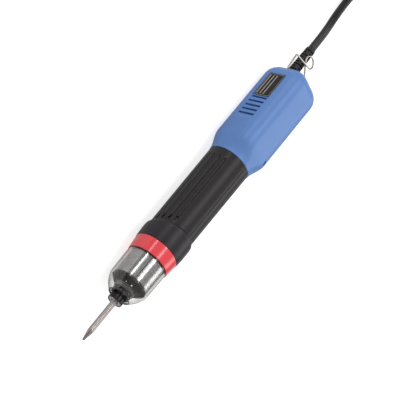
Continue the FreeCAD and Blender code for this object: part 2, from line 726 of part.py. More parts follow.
def planet_carrier():
    x0 = PLANET_REAR + PLANET_WIDTH + 2 * SLIDING
    plate = pipe(x0, x0 + CARRIER_THICKNESS, CARRIER_RADIUS, PUSH_ROD_RADIUS + SLIDING)
    pin = rod(PLANET_REAR - 0.2, x0, PLANET_PIN_RADIUS, 0, AXIS_Z + MODULE * (SUN_TEETH + PLANET_TEETH) / 2)
    hollow = rod(x0 - 1, x0 + 0.6, SUN_TEETH * MODULE / 2 + MODULE + SLIDING)
    return fuse([plate.cut(hollow)] + ring_pattern(pin, PLANET_COUNT))


def drive_shaft():
    x0 = PLANET_REAR + PLANET_WIDTH + 2 * SLIDING + CARRIER_THICKNESS
    solid = rod(x0, SHAFT_FRONT, SHAFT_RADIUS)
    bore = hexagon(SHAFT_BORE_REAR, SHAFT_FRONT + 1, HOLDER_HEX + 2 * RUNNING)
    return solid.cut([bore, rod(x0 - 1, SHAFT_BORE_REAR + 1, PUSH_ROD_RADIUS + SLIDING)])


def nose_bush():
    return pipe(NOSE_FRONT - 8.0, NOSE_FRONT - 2.0, NOSE_BORE, SHAFT_RADIUS + RUNNING)


def output_bearing():
    return pipe(BULKHEAD_FRONT - BULKHEAD_THICKNESS, BULKHEAD_FRONT + 3.0, NOSE_BORE, SHAFT_RADIUS + RUNNING)


def bit_holder():
    shank = hexagon(HOLDER_REAR, HOLDER_SHOULDER, HOLDER_HEX)
    head = rod(HOLDER_SHOULDER, HOLDER_FRONT, HOLDER_HEAD_RADIUS)
    bore = hexagon(BIT_REAR, HOLDER_FRONT + 1, BIT_HEX + RUNNING)
    groove = pipe(CLIP_REAR, CLIP_REAR + CLIP_THICKNESS, HOLDER_HEAD_RADIUS + 1, HOLDER_HEAD_RADIUS - 0.5)
    y_reach = HOLDER_HEAD_RADIUS + 1
    ball_hole = Part.makeCylinder(RETAINING_BALL_RADIUS + RUNNING, 2 * y_reach,
                                  Vector(RETAINING_BALL_X, -y_reach, AXIS_Z), Vector(0, 1, 0))
    rod_hole = rod(HOLDER_REAR - 1, HOLDER_REAR + 4, PUSH_ROD_RADIUS)
    return shank.fuse(head).cut([bore, groove, ball_hole, rod_hole])


def retaining_balls():
    reach = BIT_GROOVE_RADIUS + RETAINING_BALL_RADIUS + RUNNING
    places = [Vector(RETAINING_BALL_X, side * reach, AXIS_Z) for side in (-1, 1)]
    return Part.makeCompound([Part.makeSphere(RETAINING_BALL_RADIUS, place) for place in places])


def holder_clip():
    ring = pipe(CLIP_REAR, CLIP_REAR + CLIP_THICKNESS, SLEEVE_RADIUS - 0.75, HOLDER_HEAD_RADIUS - 0.5)
    return ring.cut(block(CLIP_REAR - 1, CLIP_REAR + 2, -0.6, 0.6, AXIS_Z, AXIS_Z + SLEEVE_RADIUS))


def bit_sleeve():
    bore = HOLDER_HEAD_RADIUS + SLIDING
    wide = SLEEVE_RADIUS - 0.6
    flange_front = SLEEVE_REAR + SLEEVE_FLANGE_LENGTH
    return turned([(SLEEVE_REAR, bore), (SLEEVE_REAR, SLEEVE_FLANGE_RADIUS - 0.3),
                   (SLEEVE_REAR + 0.3, SLEEVE_FLANGE_RADIUS), (flange_front - 0.3, SLEEVE_FLANGE_RADIUS),
                   (flange_front, SLEEVE_FLANGE_RADIUS - 0.3), (flange_front, SLEEVE_RADIUS),
                   (SLEEVE_FRONT - 1.0, SLEEVE_RADIUS), (SLEEVE_FRONT, SLEEVE_RADIUS - 0.5),
                   (SLEEVE_FRONT, wide), (SLEEVE_STEP, wide), (SLEEVE_STEP, bore)])


def sleeve_spring():
    x1 = CLIP_REAR - SEAM
    middle = (HOLDER_HEAD_RADIUS + SLEEVE_RADIUS - 0.6) / 2
    return spring(SLEEVE_STEP + SEAM, x1, middle, 0.6, 4)


def push_spring():
    return spring(SHAFT_BORE_REAR + SEAM, HOLDER_REAR - SEAM, 2.6, 1.0, 6)


def push_rod():
    return rod(PUSH_ROD_REAR, HOLDER_REAR + 4, PUSH_ROD_RADIUS)


# Bit: hexagon with a retaining groove, round shank and a cross point
def bit():
    rear = BIT_REAR
    tip = BIT_REAR + BIT_LENGTH
    waist = RETAINING_BALL_X - BIT_GROOVE_LENGTH / 2
    corner = BIT_HEX / 2 + 0.5
    hex_end = rear + BIT_HEX_LENGTH
    core = turned([(rear, 0), (rear, BIT_HEX / 2), (rear + 0.5, corner), (waist - 0.8, corner),
                   (waist, BIT_GROOVE_RADIUS), (waist + BIT_GROOVE_LENGTH, BIT_GROOVE_RADIUS),
                   (waist + BIT_GROOVE_LENGTH + 0.8, corner), (hex_end - 1.2, corner),
                   (hex_end, BIT_SHANK_RADIUS), (hex_end, 0)])
    hex_part = hexagon(rear, hex_end, BIT_HEX).common(core)
    neck = tip - BIT_POINT_LENGTH
    profile = [(hex_end, 0), (hex_end, BIT_SHANK_RADIUS), (neck, BIT_SHANK_RADIUS)]
    profile += [(tip - 1.0, BIT_POINT_RADIUS + 0.35), (tip, BIT_POINT_RADIUS - 0.3), (tip, 0)]
    shank = turned(profile)
    solid = hex_part.fuse(shank)
    depth = BIT_SHANK_RADIUS + 1
    flute = Part.makeBox(BIT_POINT_LENGTH + 3, BIT_FLUTE_WIDTH, BIT_FLUTE_WIDTH, Vector(0, 0, 0))
    flute.rotate(Vector(0, 0, 0), AXIS, 45)
    flute.rotate(Vector(0, 0, 0), Vector(0, 1, 0), 8.5)
    flute.translate(Vector(neck - 1.5, 0, AXIS_Z + 1.55 + depth * 0.09))
    return solid.cut(ring_pattern(flute, 4, 45.0))


# Motor parts
def motor_can():
    return pipe(MOTOR_REAR, MOTOR_FRONT, MOTOR_RADIUS, MOTOR_RADIUS - MOTOR_CAN_WALL)


def motor_cap(x0, x1, seat_x0):
    plate = rod(x0, x1, MOTOR_RADIUS)
    seat = rod(seat_x0, seat_x0 + BEARING_LENGTH, BEARING_RADIUS)
    window = rod(x0 - 1, x1 + 1, 1.6, 0, AXIS_Z + 11.0)
    return plate.cut([seat, rod(x0 - 1, x1 + 1, ROTOR_SHAFT_RADIUS + 0.6)] + ring_pattern(window, 6))


def motor_front_cap():
    return motor_cap(MOTOR_FRONT, SKIRT_REAR - SEAM, MOTOR_FRONT)


def motor_rear_cap():
    return motor_cap(MOTOR_REAR - MOTOR_CAP_LENGTH, MOTOR_REAR, MOTOR_REAR - BEARING_LENGTH)


def motor_bearings():
    rings = []
    for x0 in (MOTOR_FRONT, MOTOR_REAR - BEARING_LENGTH):
        ring = pipe(x0, x0 + BEARING_LENGTH, BEARING_RADIUS, ROTOR_SHAFT_RADIUS + RUNNING)
        shield = pipe(x0 - 1, x0 + 0.3, BEARING_RADIUS - 0.7, ROTOR_SHAFT_RADIUS + 0.8)
        rings.append(ring.cut(shield))
    return Part.makeCompound(rings)


def stator_slot(x0, x1):
    inner = STATOR_BORE + 1.2
    wide = block(x0, x1, -2.2, 2.2, AXIS_Z + inner, AXIS_Z + MOTOR_RADIUS - MOTOR_CAN_WALL - 2.2)
    mouth = block(x0, x1, -0.6, 0.6, AXIS_Z + STATOR_BORE - 1, AXIS_Z + inner)
    return wide, mouth


def stator_core():
    x0 = (MOTOR_FRONT + MOTOR_REAR - STATOR_LENGTH) / 2
    x1 = x0 + STATOR_LENGTH
    wide, mouth = stator_slot(x0 - 1, x1 + 1)
    core = pipe(x0, x1, MOTOR_RADIUS - MOTOR_CAN_WALL, STATOR_BORE)
    return core.cut(ring_pattern(wide.fuse(mouth), STATOR_SLOTS))


def motor_windings():
    x0 = (MOTOR_FRONT + MOTOR_REAR - STATOR_LENGTH) / 2 - SEAM / 2
    x1 = x0 + STATOR_LENGTH + SEAM
    wide, mouth = stator_slot(x0, x1)
    low = STATOR_BORE + 1.4
    high = MOTOR_RADIUS - MOTOR_CAN_WALL - 2.4
    shrink = pipe(x0, x1, high, low)
    bars = [bar.common(shrink) for bar in ring_pattern(wide, STATOR_SLOTS)]
    return fuse(bars + [pipe(x0 - WINDING_HEAD, x0, high, low), pipe(x1, x1 + WINDING_HEAD, high, low)])


def rotor_shaft():
    return pipe(ROTOR_SHAFT_REAR, PLANET_REAR + PLANET_WIDTH + 0.2, ROTOR_SHAFT_RADIUS, ROTOR_SHAFT_BORE)


def rotor_magnet():
    x0 = (MOTOR_FRONT + MOTOR_REAR - STATOR_LENGTH) / 2 - 1
    return pipe(x0, x0 + STATOR_LENGTH + 2, MAGNET_RADIUS, ROTOR_SHAFT_RADIUS)


# Start switch, its plunger and the bracket that ties it to the motor
def switch_front():
    return PUSH_ROD_REAR - PLUNGER_LENGTH


def start_switch():
    x1 = switch_front()
    body = block(x1 - SWITCH_LENGTH, x1, -SWITCH_WIDTH / 2, SWITCH_WIDTH / 2,
                 AXIS_Z - SWITCH_HEIGHT / 2, AXIS_Z + SWITCH_HEIGHT / 2)
    hole = rod(x1 - 5.0, x1 + 1, PLUNGER_RADIUS + RUNNING)
    legs = [block(x1 - SWITCH_LENGTH - 3, x1 - SWITCH_LENGTH, y - 0.6, y + 0.6, AXIS_Z - 0.2, AXIS_Z + 0.2)
            for y in (-4.0, 0.0, 4.0)]
    return fuse([body.cut(hole)] + legs)


def switch_plunger():
    x1 = PUSH_ROD_REAR - SEAM
    return rod(switch_front() - 5.0 + PUSH_TRAVEL + SLIDING, x1, PLUNGER_RADIUS)


def switch_bracket():
    x1 = MOTOR_REAR - MOTOR_CAP_LENGTH - SEAM
    plate = pipe(x1 - BRACKET_THICKNESS, x1, SPIGOT_RADIUS - SPIGOT_WALL - SLIDING, 4.0)
    parts = [plate]
    for side in (-1, 1):
        inner = side * (SWITCH_WIDTH / 2 + SEAM)
        outer = side * (SWITCH_WIDTH / 2 + BRACKET_THICKNESS)
        parts.append(block(switch_front() - SWITCH_LENGTH, x1, min(inner, outer), max(inner, outer),
                           AXIS_Z - BRACKET_LEG / 2, AXIS_Z + BRACKET_LEG / 2))
    return fuse(parts)


# Driver board on its posts, with capacitors, transistors and a header
def circuit_board():
    z0 = AXIS_Z - BOARD_DROP
    side = BOARD_WIDTH / 2
    board = block(BOARD_FRONT - BOARD_LENGTH, BOARD_FRONT, -side, side, z0, z0 + BOARD_THICKNESS)
    holes = [Part.makeCylinder(BOARD_SCREW_RADIUS + SLIDING, BOARD_THICKNESS + 2, Vector(x, y, z0 - 1))
             for x, y in board_screw_places()]
    return board.cut(holes)


def board_screw_places():
    places = []
    for k in range(4):
        x = BOARD_FRONT - BOARD_EDGE - (k // 2) * (BOARD_LENGTH - 2 * BOARD_EDGE)
        places.append((x, (BOARD_WIDTH / 2 - BOARD_EDGE) * (1 if k % 2 else -1)))
    return places


def board_screws():
    top = AXIS_Z - BOARD_DROP + BOARD_THICKNESS
    screws = []
    deep = BOARD_THICKNESS + BOARD_SCREW_BITE
    for x, y in board_screw_places():
        head = Part.makeCylinder(BOARD_SCREW_HEAD, BOARD_SCREW_HEAD * 0.6, Vector(x, y, top + SEAM))
        shank = Part.makeCylinder(BOARD_SCREW_RADIUS - SEAM, deep + SEAM, Vector(x, y, top - deep))
        screws.append(head.fuse(shank))
    return Part.makeCompound(screws)


def board_parts():
    top = AXIS_Z - BOARD_DROP + BOARD_THICKNESS
    side = BOARD_WIDTH / 2
    parts = []

    def along(share):
        return BOARD_FRONT - BOARD_LENGTH * share

    for k in range(CAPACITOR_COUNT):
        place = Vector(along(0.28 + 0.22 * k), 0, top)
        parts.append(Part.makeCylinder(CAPACITOR_RADIUS, CAPACITOR_HEIGHT, place))
    clear = BOARD_EDGE + BOARD_SCREW_HEAD + SLIDING
    pitch = (BOARD_LENGTH - 2 * clear) / TRANSISTOR_COUNT
    for k in range(TRANSISTOR_COUNT):
        x = BOARD_FRONT - clear - pitch * (k + 0.5)
        half = pitch * 0.35
        parts.append(block(x - half, x + half, -side * 0.85, -side * 0.55, top, top + TRANSISTOR_HEIGHT))
    parts.append(block(along(0.76), along(0.36), side * 0.47, side * 0.73, top, top + CHIP_HEIGHT))
    parts.append(block(along(0.94), along(0.84), -side / 2, side / 2, top, top + HEADER_HEIGHT))
    return Part.makeCompound(parts)


def direction_switch():
    y1 = HOUSING_HALF - HOUSING_WALL - SEAM
    y0 = y1 - DIRECTION_BODY_DEPTH
    half = DIRECTION_BODY_LENGTH / 2
    rise = DIRECTION_BODY_HEIGHT / 2
    return block(DIRECTION_X - half, DIRECTION_X + half, y0, y1, AXIS_Z - rise, AXIS_Z + rise)


def direction_knob():
    y0 = HOUSING_HALF - HOUSING_WALL + SEAM
    y1 = HOUSING_HALF + KNOB_PROUD
    body = block(DIRECTION_X - KNOB_LENGTH / 2, DIRECTION_X + KNOB_LENGTH / 2, y0, y1,
                 AXIS_Z - KNOB_HEIGHT / 2, AXIS_Z + KNOB_HEIGHT / 2)
    ridges = [block(DIRECTION_X + d - 0.3, DIRECTION_X + d + 0.3, y1 - 0.5, y1 + 1, AXIS_Z - KNOB_HEIGHT,
                    AXIS_Z + KNOB_HEIGHT) for d in (-1.6, 0.0, 1.6)]
    return body.cut(ridges)


# Ribbed strain relief with a flange inside the housing wall
def strain_relief():
    flange_rear = RELIEF_FLANGE_X - RELIEF_FLANGE_LENGTH
    profile = [(RELIEF_FLANGE_X, 0), (RELIEF_FLANGE_X, RELIEF_FLANGE_RADIUS)]
    profile += [(flange_rear, RELIEF_FLANGE_RADIUS), (flange_rear, RELIEF_BASE_RADIUS)]
    profile += [(RELIEF_BASE, RELIEF_BASE_RADIUS)]
    tip = RELIEF_BASE - RELIEF_LENGTH
    slope = (RELIEF_BASE_RADIUS - RELIEF_TIP_RADIUS) / RELIEF_LENGTH
    for k in range(RELIEF_RIBS):
        x = RELIEF_BASE - 1.6 - k * RELIEF_PITCH
        radius = RELIEF_BASE_RADIUS - slope * (RELIEF_BASE - x)
        profile += [(x, radius), (x - 0.2, radius - RELIEF_SLOT_DEPTH),
                    (x + 0.2 - RELIEF_SLOT, radius - RELIEF_SLOT_DEPTH), (x - RELIEF_SLOT, radius)]
    profile += [(tip + 0.8, RELIEF_TIP_RADIUS), (tip, RELIEF_TIP_RADIUS - 0.6), (tip, 0)]
    return turned(profile, 0.0, AXIS_Z - RELIEF_DROP)


# Bail: wire legs, a slanting cross bar and a round eye, leaning on the relief
def bail_lean():
    reach = EYE_CENTRE[0] + math.sqrt(EYE_RADIUS ** 2 - EYE_CENTRE[1] ** 2)
    slope = (RELIEF_BASE_RADIUS - RELIEF_TIP_RADIUS) / RELIEF_LENGTH
    relief_radius = RELIEF_BASE_RADIUS - slope * (RELIEF_BASE - BAIL_PIVOT_X + reach)
    drop = BAIL_PIVOT_RISE + RELIEF_DROP - relief_radius - BAIL_WIRE_RADIUS - BAIL_REST_GAP
    return math.asin(drop / reach)


def bail_point(away, across):
    lean = bail_lean()
    pivot_z = AXIS_Z + BAIL_PIVOT_RISE
    return Vector(BAIL_PIVOT_X - away * math.cos(lean), across, pivot_z - away * math.sin(lean))


# Half the bail's width: it clears the dome where its legs swing
def bail_half():
    turn = math.asin((FLAT_END - BAIL_PIVOT_X) / DOME_RADIUS)
    dome_half = HOUSING_HALF - DOME_RADIUS * (1 - math.cos(turn))
    return dome_half + BAIL_SIDE_GAP + BAIL_WIRE_RADIUS


def suspension_bail():
    half = bail_half()
    pin_end = half - BAIL_PIN_LENGTH
    shoulder = bail_point(BAIL_SHOULDER, BAIL_SHOULDER_STEP - half)
    left = [bail_point(0, -pin_end), bail_point(0, -half), shoulder,
            bail_point(EYE_CENTRE[0] - EYE_RADIUS, EYE_CENTRE[1])]
    right = [bail_point(0, pin_end), bail_point(0, half),
             bail_point(EYE_CENTRE[0] - EYE_RADIUS * 0.8, EYE_CENTRE[1] - EYE_RADIUS * 0.6)]
    left_wire, length = tube_along(left, [BAIL_KNEE, BAIL_BEND], BAIL_WIRE_RADIUS)
    right_wire, length = tube_along(right, [BAIL_KNEE], BAIL_WIRE_RADIUS)
    lean = bail_lean()
    upright = Vector(-math.sin(lean), 0, math.cos(lean))
    eye = Part.makeTorus(EYE_RADIUS, BAIL_WIRE_RADIUS, bail_point(*EYE_CENTRE), upright)
    return left_wire.fuse([right_wire, eye])


# Cord: a straight lead out of the relief, down to the table and into the hank
def cord_route():
    cx, cy = HANK_CENTRE
    start = Vector(RELIEF_BASE - RELIEF_LENGTH, 0, AXIS_Z - RELIEF_DROP)
    last = Vector(cx + HANK_RUN / 2, cy + HANK_FOLD, CORD_RADIUS + SLIDING)
    return [start, Vector(start.x - 20, 0, start.z), Vector(start.x - 43, 0.3, start.z - 3.7),
            Vector(start.x - 72, 2.0, last.z + 0.2), Vector(last.x + 39.5, last.y - 1.0, last.z + 0.1), last]


def arc_radii(points, name):
    radii = []
    for k in range(1, len(points) - 1):
        before = (points[k] - points[k - 1]).Length
        after = (points[k + 1] - points[k]).Length
        half_turn = (points[k] - points[k - 1]).getAngle(points[k + 1] - points[k]) / 2
        radii.append(0.45 * min(before, after) / math.tan(half_turn))
    print(name, "arc radii", [round(r, 1) for r in radii])
    return radii


def cord_lead():
    points = cord_route()
    solid, length = tube_along(points, arc_radii(points, "cord_lead"), CORD_RADIUS)
    expected = math.pi * CORD_RADIUS ** 2 * length
    print("cord_lead length", round(length, 1), "volume share", round(solid.Volume / expected, 4))
    return solid


# Hank of the put-away length: one cord wide, with round folds at both ends
def cord_hank():
    cx, cy = HANK_CENTRE
    half = HANK_RUN / 2
    height = 2 * CORD_RADIUS * HANK_LAYERS
    edge = CORD_RADIUS * 0.8
    inner = HANK_FOLD - CORD_RADIUS
    outer = HANK_FOLD + CORD_RADIUS
    points = [(inner + edge, 0), (outer - edge, 0), (outer, edge), (outer, height - edge),
              (outer - edge, height), (inner + edge, height), (inner, height - edge), (inner, edge)]
    pieces = []
    for side in (-1, 1):
        corners = [Vector(-side * half, -side * r, z) for r, z in points + points[:1]]
        outline = Part.Face(Part.makePolygon(corners))
        pieces.append(outline.extrude(Vector(side * HANK_RUN, 0, 0)))
        pieces.append(outline.revolve(Vector(-side * half, 0, 0), Vector(0, 0, 1), -180))
    hank = pieces[0].fuse(pieces[1:]).removeSplitter()
    hank.translate(Vector(cx, cy, 0))
    reach = outer + 1
    groove = TIE_WIDTH / 2 + TIE_GAP
    under = block(cx - groove, cx + groove, cy - reach, cy + reach, -1, TIE_THICKNESS + TIE_GAP)
    return hank.cut(under)


# Tie round both runs of the hank
def cord_tie():
    cx, cy = HANK_CENTRE
    half = TIE_WIDTH / 2
    inside = HANK_FOLD + CORD_RADIUS + TIE_GAP
    outside = inside + TIE_THICKNESS
    under = 2 * CORD_RADIUS * HANK_LAYERS + TIE_GAP
    band = block(cx - half, cx + half, cy - outside, cy + outside, 0, under + TIE_THICKNESS)
    hollow = block(cx - TIE_WIDTH, cx + TIE_WIDTH, cy - inside, cy + inside, TIE_THICKNESS, under)
    corners = [e for e in band.Edges if abs(e.tangentAt(0).x) > 0.9 and e.BoundBox.ZMin > under]
    return band.makeFillet(TIE_THICKNESS, corners).cut(hollow)


# Connector in front of the hank, fed by the tail that comes down off the top turn
def connector_start():
    cy = HANK_CENTRE[1]
    return Vector(CONNECTOR_REAR, cy - HANK_FOLD + CONNECTOR_SHIFT, CONNECTOR_RING_RADIUS)


def cord_tail():
    at = connector_start()
    top = 2 * CORD_RADIUS * (HANK_LAYERS - 0.5)
    start = Vector(HANK_CENTRE[0] + HANK_RUN / 2, at.y - CONNECTOR_SHIFT, top)
    points = [start, Vector(start.x + 20, start.y, top - 1.4), Vector(at.x - 32, start.y + 2.5, at.z + 7.9),
              Vector(at.x - 13, at.y, at.z), at]
    solid, length = tube_along(points, arc_radii(points, "cord_tail"), CORD_RADIUS)
    expected = math.pi * CORD_RADIUS ** 2 * length
    print("cord_tail length", round(length, 1), "volume share", round(solid.Volume / expected, 4))
    return solid


def connector_boot():
    at = connector_start()
    profile = [(at.x, 0), (at.x, CORD_RADIUS + 1.0), (at.x + CONNECTOR_BOOT_LENGTH, CONNECTOR_RADIUS - 0.6),
               (at.x + CONNECTOR_BOOT_LENGTH, 0)]
    return turned(profile, at.y, at.z)


def connector_shell():
    at = connector_start()
    x0 = at.x + CONNECTOR_BOOT_LENGTH
    x1 = x0 + CONNECTOR_LENGTH
    step = x1 - CONNECTOR_RING_LENGTH
    seat = CONNECTOR_RADIUS - CONNECTOR_SEAT
    socket = seat - CONNECTOR_WALL
    deep = x1 - CONNECTOR_SOCKET_DEPTH
    return turned([(x0, 0), (x0, CONNECTOR_RADIUS), (step, CONNECTOR_RADIUS), (step, seat), (x1, seat),
                   (x1, socket), (deep, socket), (deep, 0)], at.y, at.z)


def connector_ring():
    at = connector_start()
    x1 = at.x + CONNECTOR_BOOT_LENGTH + CONNECTOR_LENGTH
    x0 = x1 - CONNECTOR_RING_LENGTH + SLIDING
    bore = CONNECTOR_RADIUS - CONNECTOR_SEAT + RUNNING
    edge = 0.6
    outer = CONNECTOR_RING_RADIUS
    return turned([(x0, bore), (x0, outer - edge), (x0 + edge, outer), (x1 - edge, outer),
                   (x1, outer - edge), (x1, bore)], at.y, at.z)


def connector_pins():
    at = connector_start()
    x1 = at.x + CONNECTOR_BOOT_LENGTH + CONNECTOR_LENGTH
    pins = []
    for k in range(CONNECTOR_PINS):
        turn = 2 * math.pi * k / CONNECTOR_PINS
        y = at.y + PIN_RING_RADIUS * math.sin(turn)
        z = at.z + PIN_RING_RADIUS * math.cos(turn)
        pins.append(rod(x1 - CONNECTOR_SOCKET_DEPTH, x1 - 1.5, CONNECTOR_PIN_RADIUS, y, z))
    return Part.makeCompound(pins)


nodes["rear_housing"] = rear_housing()
nodes["name_plate"] = name_plate()
nodes["housing_screw"] = housing_screw()
nodes["grip_shell_left"], nodes["grip_shell_right"] = grip_shells()
nodes["front_collar"] = front_collar()
nodes["lock_ring"] = lock_ring()
nodes["clear_cover"] = clear_cover()
nodes["nose_housing"] = nose_housing()
nodes["nose_bush"] = nose_bush()
nodes["output_bearing"] = output_bearing()
nodes["torque_nut"] = torque_nut()
nodes["spring_cup"] = spring_cup()
nodes["torque_spring"] = torque_spring()
nodes["pressure_plate"] = pressure_plate()
nodes["thrust_pins"] = thrust_pins()
nodes["clutch_balls"] = clutch_balls()
nodes["ring_gear"] = ring_gear()
for index in range(PLANET_COUNT):
    nodes["planet_gear_%d" % (index + 1)] = planet_gear(index)
nodes["sun_gear"] = sun_gear()
nodes["planet_carrier"] = planet_carrier()
nodes["drive_shaft"] = drive_shaft()
nodes["bit_holder"] = bit_holder()
nodes["retaining_balls"] = retaining_balls()
nodes["holder_clip"] = holder_clip()
nodes["bit_sleeve"] = bit_sleeve()
nodes["sleeve_spring"] = sleeve_spring()
nodes["push_spring"] = push_spring()
nodes["push_rod"] = push_rod()
nodes["bit"] = bit()
nodes["motor_can"] = motor_can()
nodes["motor_front_cap"] = motor_front_cap()
nodes["motor_rear_cap"] = motor_rear_cap()
nodes["motor_bearings"] = motor_bearings()
nodes["stator_core"] = stator_core()
nodes["motor_windings"] = motor_windings()
nodes["rotor_shaft"] = rotor_shaft()
nodes["rotor_magnet"] = rotor_magnet()
nodes["start_switch"] = start_switch()
nodes["switch_plunger"] = switch_plunger()
nodes["switch_bracket"] = switch_bracket()
nodes["circuit_board"] = circuit_board()
nodes["board_screws"] = board_screws()
nodes["board_parts"] = board_parts()
nodes["direction_switch"] = direction_switch()
nodes["direction_knob"] = direction_knob()
nodes["strain_relief"] = strain_relief()
nodes["suspension_bail"] = suspension_bail()
nodes["cord_lead"] = cord_lead()
nodes["cord_hank"] = cord_hank()
nodes["cord_tie"] = cord_tie()
nodes["cord_tail"] = cord_tail()
nodes["connector_boot"] = connector_boot()
nodes["connector_shell"] = connector_shell()
nodes["connector_ring"] = connector_ring()
nodes["connector_pins"] = connector_pins()

print("bail lean", round(math.degrees(bail_lean()), 3))
for name, shape in nodes.items():
    shape.exportStep("parts/%s.step" % name)
    print(name, "solids", len(shape.Solids), "valid", shape.isValid(), "volume", round(shape.Volume, 1))
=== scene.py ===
# %% [markdown]
# # An electric torque screwdriver, dressed for its portrait
# The tool's solids come packed from the drawing office: every piece already has its real size and place.
# This notebook gives the pieces their looks. It lathes, lofts and bends finer meshes over the plain solids,
# paints each one with a material built from nodes, lays the cord, and sets up the camera and the lights.
# Everything is in metres, in the frame of the part: the bit points to +X, up is +Z.

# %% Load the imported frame
import json
import math

import bmesh
import bpy
from mathutils import Matrix, Vector

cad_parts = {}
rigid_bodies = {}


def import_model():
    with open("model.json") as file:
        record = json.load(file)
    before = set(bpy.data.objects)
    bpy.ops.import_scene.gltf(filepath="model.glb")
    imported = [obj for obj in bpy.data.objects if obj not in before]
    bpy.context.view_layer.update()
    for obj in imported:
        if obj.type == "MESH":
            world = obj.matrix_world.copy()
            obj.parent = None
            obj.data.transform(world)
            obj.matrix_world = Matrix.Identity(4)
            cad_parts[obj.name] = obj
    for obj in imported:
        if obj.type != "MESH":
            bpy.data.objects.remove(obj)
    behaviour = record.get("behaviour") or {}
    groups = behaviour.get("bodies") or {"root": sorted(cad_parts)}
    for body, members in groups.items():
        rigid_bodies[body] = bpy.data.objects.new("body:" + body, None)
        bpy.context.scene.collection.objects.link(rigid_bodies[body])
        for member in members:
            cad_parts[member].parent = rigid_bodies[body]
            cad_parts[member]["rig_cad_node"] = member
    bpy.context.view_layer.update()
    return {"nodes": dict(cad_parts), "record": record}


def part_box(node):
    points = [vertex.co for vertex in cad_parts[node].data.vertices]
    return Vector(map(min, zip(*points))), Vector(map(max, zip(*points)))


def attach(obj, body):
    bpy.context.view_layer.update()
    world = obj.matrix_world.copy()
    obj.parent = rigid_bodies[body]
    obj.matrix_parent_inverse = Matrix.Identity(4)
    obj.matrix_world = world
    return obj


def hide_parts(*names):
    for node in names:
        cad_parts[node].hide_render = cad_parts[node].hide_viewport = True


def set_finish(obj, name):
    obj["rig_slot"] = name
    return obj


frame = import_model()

MM = 0.001

# %% [markdown]
# ## Where things are
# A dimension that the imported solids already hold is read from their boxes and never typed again. The tool
# axis is the middle of the red lock ring, because that ring is round and sits on the axis.

# %% Read the tool axis and the housing's half height
ring_low, ring_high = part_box("lock_ring")
AXIS_Z = (ring_low.z + ring_high.z) / 2
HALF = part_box("rear_housing")[1].z - AXIS_Z
print("axis height", round(AXIS_Z / MM, 2), "mm, housing half", round(HALF / MM, 2), "mm")

# %% [markdown]
# ## The camera
# A product shot like this is taken from far off with a long lens, so parallel edges hardly converge. The
# camera is placed by three directions: where it looks from, what is up, and what is right. They come from
# two turns, the tilt of the bit toward the lens and the roll that puts the tool on a slant.

# %% Place the camera
VIEW_DISTANCE = 1.80
FOCAL_PIXELS = 2286.0
FRAME_PIXELS = 420.0
SENSOR = 36.0
TILT = math.radians(25.5)
FLANK_TURN = math.radians(46.0)
AXIS_RIGHT, AXIS_UP = 0.633, 0.774
AIM_X = 0.094
AIM_PIXEL = (197.9, 200.2)


def camera_axes():
    along = Vector((-1, 0, 0))
    flank = Vector((0, -math.cos(FLANK_TURN), math.sin(FLANK_TURN)))
    across = Vector((0, math.sin(FLANK_TURN), math.cos(FLANK_TURN)))
    seen_along = math.cos(TILT) * along + math.sin(TILT) * flank
    toward = math.cos(TILT) * flank - math.sin(TILT) * along
    right = AXIS_RIGHT * seen_along + AXIS_UP * across
    up = AXIS_UP * seen_along - AXIS_RIGHT * across
    return right.normalized(), up.normalized(), toward.normalized()


right, up, toward = camera_axes()
shift_right = (FRAME_PIXELS / 2 - AIM_PIXEL[0]) * VIEW_DISTANCE / FOCAL_PIXELS
shift_up = (AIM_PIXEL[1] - FRAME_PIXELS / 2) * VIEW_DISTANCE / FOCAL_PIXELS
eye = Vector((AIM_X, 0, AXIS_Z)) + toward * VIEW_DISTANCE + right * shift_right + up * shift_up
camera_data = bpy.data.cameras.new("camera")
camera_data.sensor_width = SENSOR
camera_data.lens = FOCAL_PIXELS * SENSOR / FRAME_PIXELS
camera = bpy.data.objects.new("camera", camera_data)
camera.matrix_world = Matrix.Translation(eye) @ Matrix((right, up, toward)).transposed().to_4x4()
bpy.context.scene.collection.objects.link(camera)
bpy.context.scene.camera = camera
print("lens", round(camera_data.lens), "mm, camera at", [round(c, 2) for c in eye])

# %% [markdown]
# ## The cord's line
# The lead leaves the strain relief in line with the tool, sinks to the table under its own weight and is
# put away as a slim hank that lies out of shot, in line with the tool. One smooth NURBS line carries all of
# it. A spline of order three only leans toward its control points, so the points of a fold stand a little
# outside its real radius.

# %% Lay the cord's line
CORD_RADIUS = 3.4 * MM
RELIEF_EXIT = (-81.0, 0.0, 10.3)
LEAD_POINTS = [RELIEF_EXIT, (-101.0, 0.0, 10.3), (-124.0, 0.3, 6.6), (-153.0, 2.0, 3.7), (-207.5, 12.6, 3.6)]
HANK_NEAR, HANK_FAR, HANK_Y = -247.0, -362.0, -8.0
HANK_FOLD = 21.6
HANK_LAYERS = 5
FOLD_STEPS = 8
SPLINE_PULL = 0.981
TAIL_POINTS = [(-227.0, -29.6, 29.2), (-206.0, -27.1, 16.5), (-187.0, -24.6, 8.6), (-174.0, -24.6, 8.6)]


def fold_points(x, first_angle, height, rise):
    points = []
    for k in range(FOLD_STEPS + 1):
        angle = first_angle + math.pi * k / FOLD_STEPS
        reach = HANK_FOLD if k in (0, FOLD_STEPS) else HANK_FOLD / SPLINE_PULL
        z = height + rise * k / FOLD_STEPS
        points.append((x + reach * math.cos(angle), HANK_Y + reach * math.sin(angle), z))
    return points


